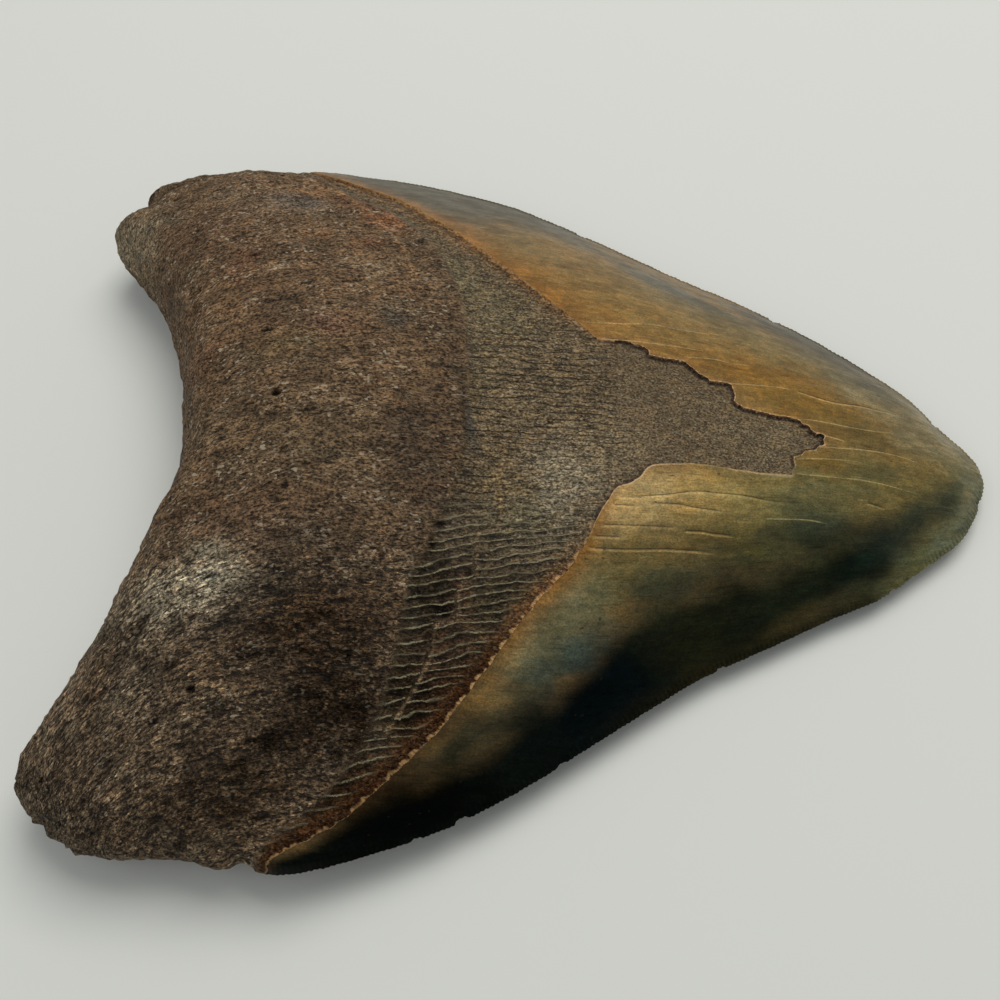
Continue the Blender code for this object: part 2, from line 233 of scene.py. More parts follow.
ROOT_UPPER_ROWS = rounding_rows(UPPER_ROUNDING, range(3, 49, 4))
ROOT_LOWER_ROWS = rounding_rows(LOWER_ROUNDING, range(4, 53, 8))
CROWN_ROWS = (0.09, 0.26, 0.48, 0.75, 1.1, 1.5)
CRACK_ROWS = (CRACK_WIDTH, 0.0, -CRACK_WIDTH, -LIP_PLACE, -1.6 * LIP_PLACE)

# Camera: place above the drawing's origin, depression and roll in degrees, lens and sensor width
CAMERA_PLACE = (0.0, -101.266, 174.552)
CAMERA_DEPRESSION = 59.88
CAMERA_ROLL = -2.23
CAMERA_LENS = 46.55
CAMERA_SENSOR = 36.0
FLOOR_SIZE = 6.0
FLOOR_COLOUR = (0.70, 0.71, 0.67)
FLOOR_ROUGHNESS = 0.9
FLOOR_SHINE = 0.2
# Soft lights: name, place and size in metres, power in watts, colour
SOFTBOXES = [
    ("key", (0.16, 0.30, 0.72), 0.55, 4, (1, 0.98, 0.94)),
    ("fill", (-0.50, -0.20, 0.75), 0.80, 1, (0.95, 0.98, 1)),
]
SURROUND_COLOUR = (0.95, 0.98, 1.0)
SURROUND_STRENGTH = 0.35

# Dark cracks of the enamel on the upper face, each with a pale lip on its -Y side that is partly
# painted highlight
CRACKS = [
    [(11.8, -18.6), (16.4, -18.4), (19.8, -18.1), (22.6, -17.8), (26.5, -17.6), (30.9, -17.5)],
    [(14.2, -15.4), (19.4, -15.1), (25, -14.8)],
    [(13, -17), (14.9, -16.9), (16.7, -16.8)],
    [(16.8, -11.5), (19.9, -11.1), (24.1, -10.4), (27.4, -9.7), (31.3, -9.6), (35.1, -9.6),
     (38.3, -9.9), (43.4, -9.8)],
    [(21.6, -11.9), (24.9, -11.7), (27.2, -11.9), (29.7, -12), (32.6, -12.1)],
    [(15.9, -12.6), (19, -12.5)],
    [(26.1, -15.1), (28.2, -15), (29.7, -15.1), (33.3, -15.1)],
    [(53.9, -8.8), (56.4, -9.3)],
    [(45.4, 8.9), (50.5, 7.9), (55.9, 8), (62, 7.4)],
]
# Thin pale raised lines of the enamel on the upper face, their paint partly painted highlight
PALE_LINES = [
    [(13.2, 17.9), (19.1, 18.4), (24.2, 19.2), (28.6, 19), (33.5, 19.2), (37.1, 20.1)],
    [(18, 14.6), (20.8, 14.8), (23.7, 14.8), (29.4, 14.7), (32.8, 14.7)],
    [(28.8, 12.8), (33.2, 13.1), (35.8, 12.7), (39.3, 13)],
    [(34.9, 8.5), (38.6, 8.8), (42.4, 9), (45.4, 8.9)],
    [(45.2, 3.5), (47.9, 3.5), (52.3, 3.2), (56.5, 3.1), (60.8, 3.4)],
    [(48, 1.1), (51.8, 0.4)],
    [(46.4, -1.1), (50.7, -0.8), (55.5, -0.6), (60, -0.9), (65, -2.2)],
    [(43.4, -3.4), (48.6, -2.8), (53.1, -2.7)],
    [(42.6, -5.7), (48.9, -5.6), (53.3, -5.6), (58.7, -6.1), (63.1, -6.8)],
    [(38, -12.5), (40.8, -12.3), (44.2, -12.1), (47.6, -12.4)],
]
# The broken edge of a thin layer on the neck
FLAKE = [
    (1, -4.6), (0.3, -8), (-0.2, -12), (-0.4, -15.9), (-3.4, -18), (-3.8, -23.4),
    (-5.8, -24.5), (-6.2, -28), (-6.6, -28.7), (-9.2, -29.8), (-9.9, -33.1), (-12.6, -38),
    (-16.5, -43),
]
# Vessel openings and pits on the upper side of the root: (x, y, long radius, short radius, depth)
OPENINGS = [
    (-30.6, 2.8, 0.75, 0.6, 1.3), (-40.4, -38.2, 0.75, 0.5, 0.9), (-26.1, -0.5, 1.3, 0.3, 0.5),
    (-28.7, -12, 0.6, 0.4, 0.6), (-32.7, 14.7, 1.2, 0.35, 0.5), (-45, 25, 1.3, 0.3, 0.4),
    (-44, -10, 0.7, 0.4, 0.5), (-52, 49, 1.5, 0.3, 0.5), (-36, 31.5, 1.4, 0.3, 0.4),
]
# Grooves and furrows: (points, half width, depth, darkness of the painted shade in them)
FURROWS = [
    ([(-46.6, -27.3), (-48.4, -30), (-50.5, -32.9)], 0.55, 0.8, 0.85),
    ([(-37.2, -41.3), (-39.3, -44.9), (-40.7, -50)], 1.3, 0.8, 0.45),
    ([(-52.4, -29.2), (-49, -33.5), (-44.5, -36)], 1.6, 0.4, 0.45),
    ([(-20, -18), (-29, -22), (-38, -31)], 3, 0.35, 0.45),
    ([(-58.5, 50), (-53.5, 53.2), (-47.5, 55.5)], 0.8, 0.5, 0.45),
    ([(-5.6, 10.5), (-4.7, 5), (-4.5, 1.2), (-4, -3)], 0.6, 0.35, 0.5),
    ([(-9, 7.3), (-6.3, 7.2), (-4.4, 6.8)], 0.32, 0.4, 0.85),
    ([(-33, 20), (-30.5, 20.6), (-28.5, 20.2)], 0.35, 0.4, 0.75),
    ([(-22, 24), (-19.5, 24.2)], 0.35, 0.35, 0.7),
    ([(-43, 30), (-41, 31.2)], 0.4, 0.4, 0.7),
    ([(-29, -37), (-25.5, -36.2), (-22.5, -36.6)], 0.35, 0.4, 0.7),
    ([(-33, -7.2), (-30.6, -6.6), (-28.8, -6.9)], 0.3, 0.35, 0.7),
]
GRAIN_OFFSET = [
    (-66, 0), (-55, 12.2), (-45, 18.7), (-35, 21.9), (-25, 23.3), (-10, 23.8),
]
GRAIN_LENGTH = [
    (-66, 0), (-55, 16.4), (-45, 28.3), (-35, 38.8), (-25, 48.9), (-10, 63.9),
    (75, 148.9),
]
# Growth lines of the enamel draw together towards the tip: their spacing and their middle along X
FLOW_SPREAD = [(-72.0, 1.0), (5.0, 1.0), (40.0, 0.86), (60.0, 0.7), (75.0, 0.5)]
FLOW_MIDDLE = [(-72.0, 0.0), (40.0, 0.0), (60.0, -1.0), (75.0, -2.5)]
# Fine ribs across the neck, as a running count along Y
RIB_COUNT = [(-65.0, -58.5), (-30.0, -27.3), (-12.0, -11.2), (0.0, 0.1), (20.0, 15.6), (65.0, 50.6)]
RIBS_START_AT_Y = -14.0  # nearer the middle the neck has dark wavy cracks instead


def curve_value(x, knots):
    """Height of a smooth curve through the knots, with no overshoot between them."""
    xs, ys = np.asarray(knots, dtype=float).T
    gaps = np.diff(xs)
    slopes = np.diff(ys) / gaps
    before = slopes[:-1]
    after = slopes[1:]
    same_sign = before * after > 0
    total = np.where(same_sign, before + after, 1.0)
    inner = np.where(same_sign, 2 * before * after / total, 0.0)
    tangents = np.concatenate([slopes[:1], inner, slopes[-1:]])
    x = np.clip(x, xs[0], xs[-1])
    i = np.clip(np.searchsorted(xs, x, side="right") - 1, 0, len(gaps) - 1)
    t = (x - xs[i]) / gaps[i]
    rise = (3 - 2 * t) * t * t
    lead = t * (1 - t) ** 2 * gaps[i] * tangents[i]
    trail = t * t * (t - 1) * gaps[i] * tangents[i + 1]
    return ys[i] + (ys[i + 1] - ys[i]) * rise + lead + trail


def smooth_line(points, spacing=LINE_SPACING, closed=False):
    """Points about one spacing apart on a centripetal Catmull-Rom curve through the given points."""
    p = np.asarray(points, dtype=float)
    if not closed:
        p = np.vstack([2 * p[0] - p[1], p, 2 * p[-1] - p[-2]])
    count = len(p)
    line = []
    for i in range(count) if closed else range(1, count - 2):
        line.extend(catmull_rom_span([p[(i + k) % count] for k in (-1, 0, 1, 2)], spacing))
    if not closed:
        line.append(p[-2])
    return np.array(line)


def catmull_rom_span(four, spacing):
    """Points from the second of four control points up to, but not at, the third."""
    a, b, c, d = four
    t = np.cumsum([0.0] + [np.linalg.norm(q - p) ** 0.5 for p, q in ((a, b), (b, c), (c, d))])
    steps = max(1, round(np.linalg.norm(c - b) / spacing))
    span = []
    for u in t[1] + (t[2] - t[1]) * np.arange(steps) / steps:
        ab = a + (b - a) * (u - t[0]) / (t[1] - t[0])
        bc = b + (c - b) * (u - t[1]) / (t[2] - t[1])
        cd = c + (d - c) * (u - t[2]) / (t[3] - t[2])
        abc = ab + (bc - ab) * (u - t[0]) / (t[2] - t[0])
        bcd = bc + (cd - bc) * (u - t[1]) / (t[3] - t[1])
        span.append(abc + (bcd - abc) * (u - t[1]) / (t[2] - t[1]))
    return span


def split_line(points, spacing):
    """The polyline with each stretch cut into steps about one spacing long, its corners kept."""
    p = np.asarray(points, dtype=float)
    line = []
    for a, b in zip(p, p[1:]):
        steps = max(1, round(np.linalg.norm(b - a) / spacing))
        line.extend(a + (b - a) * share for share in np.arange(steps) / steps)
    line.append(p[-1])
    return np.array(line)


def offset_line(line, distance):
    """The polyline moved sideways, to the left of its direction."""
    along = np.gradient(line, axis=0)
    left = np.column_stack([-along[:, 1], along[:, 0]])
    return line + distance * left / np.linalg.norm(left, axis=1)[:, None]


def line_finder(line, closed=False):
    """A function that gives plan points' distance to a finely cut line and their place on it."""
    count = len(line)
    tree = KDTree(count)
    for i, (x, y) in enumerate(line):
        tree.insert((x, y, 0.0), i)
    tree.balance()

    def find(points):
        nearest = np.array([tree.find((x, y, 0.0))[1] for x, y in points])
        shortest = np.full(len(points), np.inf)
        place = nearest.astype(float)
        for step in (-1, 0):
            first = (nearest + step) % count if closed else np.clip(nearest + step, 0, count - 2)
            start = line[first]
            vector = line[(first + 1) % count] - start
            offset = points - start
            t = np.clip((offset * vector).sum(axis=1) / (vector**2).sum(axis=1), 0, 1)
            gap = np.hypot(*(offset - t[:, None] * vector).T)
            closer = gap < shortest
            shortest[closer] = gap[closer]
            place[closer] = (first + t)[closer]
        return shortest, place

    return find


def distance_to(line, points):
    """Plan points' distance to a finely cut open line."""
    return line_finder(line)(points)[0]


def is_inside(points, polygon):
    """True for each point inside the closed polygon."""
    inside = np.zeros(len(points), dtype=bool)
    x, y = points.T
    for a, b in zip(polygon, np.roll(polygon, -1, axis=0)):
        if a[1] == b[1]:
            continue
        spans = (a[1] > y) != (b[1] > y)
        inside ^= spans & (x < a[0] + (y - a[1]) * (b[0] - a[0]) / (b[1] - a[1]))
    return inside


def tip_side_distance(points, line):
    """Signed plan distance to a line across the tooth, positive on the tip's side."""
    distance = distance_to(line, points)
    return np.where(is_inside(points, np.vstack([line, BEYOND_TIP])), distance, -distance)


# Bare numbers given to ease, fall and bell are places, depths and widths in millimetres, or, where
# the value is a noise or a share, levels of it.
def ease(value, low, high):
    """0 at low and below, 1 at high and above, smooth between."""
    t = np.clip((value - low) / (high - low), 0, 1)
    return t * t * (3 - 2 * t)


def fall(value, low, high):
    """1 at low and below, 0 at high and above, smooth between."""
    return 1 - ease(value, low, high)


def bell(value, width):
    """1 where the value is 0, falling away on both sides within a width or two."""
    return np.exp(-((value / width) ** 2))


def lift(value):
    """Noise turned into a share between 0 and 1."""
    return np.clip(0.5 + 0.5 * value, 0, 1)


def in_oval(points, oval, angle):
    """Place in an oval (x, y, long radius, short radius), in radii along and across its direction."""
    x, y, long_radius, short_radius = oval
    dx, dy = (points - (x, y)).T
    along = dx * math.cos(angle) + dy * math.sin(angle)
    across = -dx * math.sin(angle) + dy * math.cos(angle)
    return along / long_radius, across / short_radius


# ---------------------------------------------------------------- noise
LATTICE = np.random.default_rng(7).permutation(256)
GRADIENTS = np.random.default_rng(8).normal(size=(256, 3))
GRADIENTS /= np.linalg.norm(GRADIENTS, axis=1)[:, None]


def noise(columns, sizes, seed):
    """Smooth gradient noise, about -1 to 1, of up to three coordinates with a size for each."""
    points = np.zeros((len(columns[0]), 3))
    for axis, (column, size) in enumerate(zip(columns, sizes)):
        points[:, axis] = column / size
    cell = np.floor(points).astype(int)
    t = points - cell
    smooth = t * t * t * (t * (t * 6 - 15) + 10)
    total = np.zeros(len(points))
    for corner in itertools.product((0, 1), repeat=3):
        i, j, k = (cell + corner + seed * 17).T & 255
        pick = LATTICE[(LATTICE[(LATTICE[i] + j) & 255] + k) & 255]
        weight = np.prod(np.where(corner, smooth, 1 - smooth), axis=1)
        total += weight * ((t - corner) * GRADIENTS[pick]).sum(axis=1)
    return total * NOISE_GAIN


# ---------------------------------------------------------------- body of the tooth, as in the CAD
def side_position(points):
    """Place across the tooth, -1 at its -Y side and +1 at its +Y side, and the half width there."""
    x, y = points.T
    plus = [(-75.0, EDGE_PLUS_Y[0][1])] + EDGE_PLUS_Y + [(75.5, -0.5)]
    minus = [(-75.0, EDGE_MINUS_Y[-1][1])] + EDGE_MINUS_Y[::-1] + TIP[::-1] + [(75.5, -2.5)]
    upper = curve_value(x, plus)
    lower = curve_value(x, minus)
    half_width = (upper - lower) / 2
    return np.clip((y - (upper + lower) / 2) / half_width, -1, 1), half_width


def root_share(x):
    """0 on the crown, 1 on the root, with a smooth change between."""
    return ease(ROOT_STARTS_AT_X - x, 0, ROOT_BLEND_LENGTH)


def quarter_round(depth, width):
    """0 at the outline, 1 from one width inwards, along a quarter of an ellipse."""
    t = 1 - np.clip(depth / width, 0, 1)
    return np.sqrt(1 - t * t)


def upper_body(points, depth):
    """Height of the upper face without its neck and other relief."""
    x = points[:, 0]
    across, _ = side_position(points)
    edge = curve_value(x, EDGE_LINE)
    shoulder = curve_value(x, SHOULDER_LINE)
    dome = shoulder + (curve_value(x, MIDLINE) - shoulder) * (1 - np.abs(across) ** DOME_POWER)
    root = root_share(x)
    rounded = quarter_round(depth, UPPER_ROUNDING)
    blade = np.clip(depth / FINE_BLADE_WIDTH, 0, 1)
    return edge + (dome - edge) * (root * rounded + (1 - root) * blade)


def lower_body(points, depth):
    """Height of the lower face, which is flat at zero over its middle."""
    x = points[:, 0]
    _, half_width = side_position(points)
    root = root_share(x)
    root_rise = 1 - quarter_round(depth, LOWER_ROUNDING)
    crown_rise = (1 - np.clip(depth / np.maximum(LABIAL_RISE * half_width, 4.0), 0, 1)) ** 2
    rise = curve_value(x, EDGE_LINE) * (root * root_rise + (1 - root) * crown_rise)
    from_hollow = np.hypot(*(points - LABIAL_HOLLOW_CENTRE).T) / LABIAL_HOLLOW_RADIUS
    return rise + LABIAL_HOLLOW_DEPTH * np.clip(1 - from_hollow**2, 0, 1) ** 2


def neck_sink(place):
    """How far the neck lies under the body: a slope on the root's side, a break at the enamel."""
    x, y = place.plan.T
    broken = 0.12 * ease(y, -4.8, -2.0) * ease(x, 13, 20)
    feathered = 0.17 * fall(y, -5.8, -4.5) * ease(x, 13, 20)
    step = (ENAMEL_STEP + broken - feathered) * (1 - 0.6 * ease(y, 16, 26))
    slope = NECK_STEP * ease(place.neck_line, -0.5, 1.2)
    deepening = (step - NECK_STEP) * ease(place.margin, -4.0, -0.2)
    rim = RIM_HEIGHT * fall(y, -16, -10) * bell(place.margin - 0.45, 0.5) * (place.margin > 0)
    sunk = (slope + deepening) * (1 - place.enamel) - rim
    return sunk * np.clip(place.depth / NECK_FADE, 0, 1) * place.is_upper


# ---------------------------------------------------------------- plan of the fine surface
def outline_of(spacing):
    """The plan outline, cut into steps about one spacing long."""
    controls = LOBE_PLUS_Y + EDGE_PLUS_Y + TIP + EDGE_MINUS_Y + LOBE_MINUS_Y + ARCH
    return smooth_line(controls, spacing, closed=True)


def fine_outline():
    """The plan outline, finely cut along the crown and more coarsely along the root."""
    line = outline_of(CROWN_OUTLINE_SPACING)
    number = np.arange(len(line))
    return line[(line[:, 0] > CROWN_STARTS_AT_X) | (number % ROOT_OUTLINE_STEP == 0)]


def drawing_middle():
    """Middle of the CAD's outline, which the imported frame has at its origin."""
    line = outline_of(CAD_OUTLINE_SPACING)
    return (line.min(axis=0) + line.max(axis=0)) / 2


def inward_directions(outline):
    """Unit plan directions from each point of the clockwise outline into the tooth."""
    along = np.roll(outline, -1, axis=0) - np.roll(outline, 1, axis=0)
    inward = np.column_stack([along[:, 1], -along[:, 0]])
    return inward / np.linalg.norm(inward, axis=1)[:, None]


def plan_grid(spacing, outline):
    """Points of a triangular grid over the outline's box."""
    low = outline.min(axis=0)
    high = outline.max(axis=0)
    grid = []
    for number, y in enumerate(np.arange(low[1], high[1], spacing * GRID_ROW)):
        xs = np.arange(low[0] + (number % 2) * spacing / 2, high[0], spacing)
        grid.append(np.column_stack([xs, np.full(len(xs), y)]))
    return np.vstack(grid)


def band_rows(outline, find_outline, root_depths, crown_depths):
    """Rows of points inside the outline, with their own depths on the root and on the crown."""
    inward = inward_directions(outline)
    on_crown = outline[:, 0] > CROWN_STARTS_AT_X
    rows = []
    for part, depths in ((~on_crown, root_depths), (on_crown, crown_depths)):
        for depth in depths:
            row = outline[part] + inward[part] * depth
            gap, _ = find_outline(row)
            rows.append(row[gap > STILL_DEEP * depth])
    return np.vstack(rows)


def loose_points(outline, find_outline, zones, band_depth, lines):
    """Grid points clear of the rows and lines; zones are (spacing, function of the points)."""
    kept = []
    for spacing, belongs in zones:
        grid = plan_grid(spacing, outline)
        grid = grid[is_inside(grid, outline[::COARSE_STEP])]
        depth, _ = find_outline(grid)
        limit = np.where(grid[:, 0] > CROWN_STARTS_AT_X, CROWN_ROWS[-1], band_depth)
        grid = grid[depth > limit + spacing * BAND_GAP]
        grid = grid[belongs(grid)]
        for line in lines:
            grid = grid[distance_to(line, grid) > spacing * LINE_GAP]
        kept.append(grid)
    return np.vstack(kept)


def triangulate(outline, loose, lines):
    """Plan points, outline first, and the Delaunay triangles that keep to the given lines."""
    points = [tuple(p) for p in outline]
    edges = [(i, (i + 1) % len(outline)) for i in range(len(outline))]
    for line in lines:
        first = len(points)
        points.extend(tuple(p) for p in line)
        edges.extend((first + i, first + i + 1) for i in range(len(line) - 1))
    points.extend(tuple(p) for p in loose)
    boundary = [list(range(len(outline)))]
    found, _, triangles, *_ = delaunay_2d_cdt(points, edges, boundary, INSIDE_ONLY, MERGE_WITHIN)
    return np.array([tuple(v) for v in found]), np.array(triangles)


def inner_part(line, outline, find_outline, clearance):
    """The longest run of the line's points that lies well inside the outline."""
    gap, _ = find_outline(line)
    good = is_inside(line, outline[::COARSE_STEP]) & (gap > clearance)
    runs = np.split(np.arange(len(line)), np.flatnonzero(np.diff(good.astype(int))) + 1)
    return line[max((run for run in runs if good[run[0]]), key=len)]


def rings(openings):
    """Circles of points round each opening, so that its rim comes out round."""
    made = []
    for x, y, long_radius, short_radius, _ in openings:
        turn = grain_angle(x)
        for share in RING_SHARES:
            number = 1 if share == 0 else RING_POINTS
            angle = np.arange(number) * 2 * np.pi / number
            a = share * long_radius * np.cos(angle)
            b = share * short_radius * np.sin(angle)
            made.append(np.column_stack([
                x + a * math.cos(turn) - b * math.sin(turn),
                y + a * math.sin(turn) + b * math.cos(turn),
            ]))
    return np.vstack(made)


def grain_angle(x):
    """Direction of the root's fibres in plan, in radians."""
    step = 0.5
    rise = curve_value(np.array([x - step, x + step]), GRAIN_OFFSET)
    return math.atan2(rise[1] - rise[0], 2 * step)


def enamel_margin():
    """The enamel's edge on the upper face, with small teeth along its broken stretch."""

    def waves(line, size, seed):
        return noise(line.T, (size, size), seed)[:, None]

    jag = split_line(MARGIN_JAGGED, JAG_STEP)
    jag = jag + JAG_ROUGHNESS * np.hstack([waves(jag, 0.8, 3), waves(jag, 0.7, 4)])
    near_flank = smooth_line(MARGIN_FLANK_MINUS_Y)
    near_flank = near_flank + FLANK_ROUGHNESS * waves(near_flank, 1.6, 14) * (0.7, -0.7)
    far_flank = smooth_line(MARGIN_FLANK_PLUS_Y)
    far_flank = far_flank + FLANK_ROUGHNESS * waves(far_flank, 1.3, 15) * (0.7, 0.7)
    return np.vstack([far_flank, jag, near_flank])


def upper_plan(outline, find_outline, margin, neck_line):
    """Plan points and triangles of the upper face."""
    inner = inner_part(margin, outline, find_outline, MARGIN_CLEARANCE)
    flake = inner_part(smooth_line(FLAKE), outline, find_outline, FLAKE_CLEARANCE)
    lines = [inner, offset_line(inner, ENAMEL_STEP_WIDTH), flake, offset_line(flake, 0.2)]
    for marks, rows in ((CRACKS, CRACK_ROWS), (PALE_LINES, CRACK_ROWS[:3])):
        for mark in marks:
            lines.extend(offset_line(smooth_line(mark), sideways) for sideways in rows)

    def zone(grid):
        """2 for points on the enamel, 1 on the neck, 0 on the root."""
        past_neck = tip_side_distance(grid, neck_line) > -1.5
        return np.where(tip_side_distance(grid, margin) > 0.6, 2, past_neck)

    zones = [
        (ENAMEL_SPACING, lambda grid: zone(grid) == 2),
        (NECK_SPACING, lambda grid: zone(grid) == 1),
        (ROOT_SPACING, lambda grid: zone(grid) == 0),
    ]
    loose = loose_points(outline, find_outline, zones, ROOT_UPPER_ROWS[-1], lines)
    for x, y, long_radius, _, _ in OPENINGS:
        loose = loose[np.hypot(*(loose - (x, y)).T) > 1.4 * long_radius + 0.1]
    loose = loose[distance_to(inner, loose) > MARGIN_ROWS[-1] + 0.1]
    for sideways in MARGIN_ROWS:
        for shift in (-sideways, sideways + ENAMEL_STEP_WIDTH):
            row = offset_line(inner, shift)
            loose = np.vstack([loose, row[distance_to(inner, row) > 0.9 * sideways]])
    rows = band_rows(outline, find_outline, ROOT_UPPER_ROWS, CROWN_ROWS)
    return triangulate(outline, np.vstack([rows, loose, rings(OPENINGS)]), lines)


def lower_plan(outline, find_outline):
    """Plan points and triangles of the lower face."""
    inner = inner_part(smooth_line(LABIAL_MARGIN), outline, find_outline, MARGIN_CLEARANCE)
    lines = [inner, offset_line(inner, ENAMEL_STEP_WIDTH)]
    zones = [(LOWER_SPACING, lambda grid: np.ones(len(grid), dtype=bool))]
    loose = loose_points(outline, find_outline, zones, ROOT_LOWER_ROWS[-1], lines)
    rows = band_rows(outline, find_outline, ROOT_LOWER_ROWS, CROWN_ROWS)
    return triangulate(outline, np.vstack([rows, loose]), lines)


# ---------------------------------------------------------------- what each vertex knows
class Places:
    """Plan and shape facts of every vertex of the fine surface, in drawing millimetres."""

    def __init__(self, upper, lower, outline, find_outline, margin, neck_line):
        count = len(outline)
        plan = np.vstack([upper, lower[count:]])
        self.plan = plan
        self.x, self.y = plan.T
        self.is_upper = np.arange(len(plan)) < len(upper)
        self.depth, self.turn = find_outline(plan)
        self.depth[:count] = 0
        steps = np.linalg.norm(np.roll(outline, -1, axis=0) - outline, axis=1)
        reached = np.concatenate([[0.0], np.cumsum(steps)])
        self.arc = np.interp(self.turn, np.arange(count + 1), reached)
        labial = tip_side_distance(plan, smooth_line(LABIAL_MARGIN))
        self.margin = np.where(self.is_upper, tip_side_distance(plan, margin), labial)
        self.neck_line = np.where(self.is_upper, tip_side_distance(plan, neck_line), FAR_OFF)
        self.flake = tip_side_distance(plan, smooth_line(FLAKE))
        self.enamel = np.clip(self.margin / ENAMEL_STEP_WIDTH, 0, 1)
        self.neck = ease(self.neck_line, -0.7, 0.7) * (1 - self.enamel)
        self.root = 1 - self.enamel - self.neck
        z = np.where(self.is_upper, upper_body(plan, self.depth), lower_body(plan, self.depth))
        z[:count] = curve_value(plan[:count, 0], EDGE_LINE)
        self.z = z
        x, y = self.x, self.y
        self.grain = np.column_stack([
            curve_value(x, GRAIN_LENGTH) + 0.25 * y, y - curve_value(x, GRAIN_OFFSET), z
        ])
        spread = curve_value(x, FLOW_SPREAD)
        self.flow = np.column_stack([x, (y - curve_value(x, FLOW_MIDDLE)) / spread, z])
        self.rib = self.rib_count()
        self.crown = ease(x, CROWN_STARTS_AT_X - 1, CROWN_STARTS_AT_X + 5)

    def rib_count(self):
        """A running count of the neck's ribs, whose whole numbers are their crests."""
        x, y = self.x, self.y
        wobble = 0.65 * self.noise(7, 4, 21) + 0.30 * self.noise(3.4, 2.2, 22)
        wobble += 0.13 * self.noise(1.1, 1.0, 23)
        slant = (0.13 + 0.1 * ease(-y, 10, 22)) * ease(-y, -5, 20)
        count = curve_value(y - slant * (x + 5) + wobble, RIB_COUNT)
        root_side = (self.flake < 0) & (y < -4)
        return np.where(root_side, 0.85 * count + 0.4, count)

    def noise(self, long, wide, seed):
        """Noise over the plan, with feature sizes along X and along Y."""
        return noise((self.x, self.y), (long, wide), seed)

    def ribbed(self, end):
        """0 by the middle of the neck, 1 on the near side, where it has ribs."""
        return ease(-self.y, -RIBS_START_AT_Y - 3, -RIBS_START_AT_Y + end)


def line_groove(place, points, half_width):
    """1 on a line of the upper face, falling away to 0 past its half width."""
    return bell(distance_to(smooth_line(points, 0.4), place.plan), half_width) * place.is_upper


def oval_share(points, oval, rim):
    """1 in the middle of an opening, 0 outside its rim."""
    return fall(np.hypot(*in_oval(points, oval, grain_angle(oval[0]))), *rim)


def scattered_pits(rng, number, box):
    """Small openings at random places in a box of the plan: (x, y, long, short, depth)."""
    low_x, high_x, low_y, high_y = box
    pits = []
    for _ in range(number):
        long_radius = rng.uniform(*PIT_LENGTH)
        pits.append((
            rng.uniform(low_x, high_x), rng.uniform(low_y, high_y),
            long_radius, long_radius * rng.uniform(*PIT_FLATNESS), rng.uniform(*PIT_DEPTH),
        ))
    return pits


def pitted(place, pits, on_face):
    """Depth of a set of small pits at every vertex of one face."""
    depth = np.zeros(len(place.x))
    index = np.flatnonzero(on_face)
    order = index[np.argsort(place.x[index])]
    xs = place.x[order]
    for x, y, long_radius, short_radius, deep in pits:
        near = order[np.searchsorted(xs, x - PIT_REACH):np.searchsorted(xs, x + PIT_REACH)]
        share = oval_share(place.plan[near], (x, y, long_radius, short_radius), (0.3, 1.1))
        depth[near] = np.maximum(depth[near], deep * share)
    return depth


def bone_strands(place):
    """Hollows between the bone's short strands, and the gullies of its near lobe."""
    grain = place.grain.T
    gullies = 0.26 * ease(noise(grain, (6, 1.7, 2.4), 11), 0.18, 0.7)
    gullies *= 0.3 + 0.7 * ease(-place.y, 15, 35)
    strands = 0.20 * lift(1.4 * noise(grain, (3.0, 1.15, 1.5), 5))
    grains = 0.24 * lift(1.4 * noise(grain, (1.2, 0.85, 0.95), 6))
    splits = 0.22 * ease(noise(grain, (5.0, 0.8, 1.3), 9), 0.38, 0.75)
    return strands + grains + splits + gullies


def bone_relief(place):
    """How far the bare bone lies under the body, along the surface's normal."""
    where = (place.x, place.y, place.z)
    broad = 0.34 * lift(noise(where, (11, 8, 9), 1))
    middle = 0.34 * lift(1.4 * noise(where, (4.2, 3.4, 3.4), 2))
    return broad + middle + bone_strands(place) - BONE_SWELL


def neck_relief(place):
    """Ribs or grooves across the neck, and the lower ground on the root's side of the flake."""
    x, y = place.plan.T
    off_crest = np.abs((place.rib + 0.5) % 1 - 0.5) * 2
    ribbed = place.ribbed(6)
    patchy = 0.45 + 0.55 * lift(2 * place.noise(3.2, 2.2, 31))
    ribs = 0.15 * ease(off_crest, 0.0, 0.55) * ribbed * patchy
    grooves = 0.13 * ease(off_crest, 0.6, 1.0) * (1 - ribbed) * patchy * fall(x, 16, 22)
    lower = FLAKE_STEP * fall(place.flake, 0, 0.2) * ease(-y, 3, 7)
    broad = 0.22 * lift(place.noise(9, 7, 32))
    grains = 0.09 * lift(1.4 * place.noise(1.1, 0.75, 33))
    wrinkles = 0.3 * lift(1.5 * noise((place.margin, x - y), (0.9, 5), 34))
    wrinkles *= ease(y, 16, 24) * bell(place.margin, 5)
    return ribs + grooves + lower + broad + grains + wrinkles


def enamel_relief(place):
    """Low swells and fine growth lines of the enamel."""
    swells = 0.10 * lift(noise((place.x, place.y, place.z), (15, 9, 12), 41))
    return swells + 0.045 * lift(noise(place.flow.T, (22, 1.9, 30), 42))


def line_share(place, lines, sideways):
    """1 along a set of enamel lines moved sideways, 0 elsewhere, fading towards their far ends."""
    share = np.zeros(len(place.x))
    for line in lines:
        along = smooth_line(line)
        boxed = (place.plan > along.min(axis=0) - 1) & (place.plan < along.max(axis=0) + 1)
        near = np.flatnonzero(boxed.all(axis=1) & place.is_upper)
        plan = place.plan[near]
        start = np.hypot(*(plan - along[0]).T)
        end = np.hypot(*(plan - along[-1]).T)
        taper = ease(np.minimum(start + 2.0, end), 0, 0.25 * len(along) * LINE_SPACING)
        taper *= fall(distance_to(offset_line(along, sideways), plan), 0.01, CRACK_WIDTH)
        share[near] = np.maximum(share[near], taper)
    return share * place.enamel


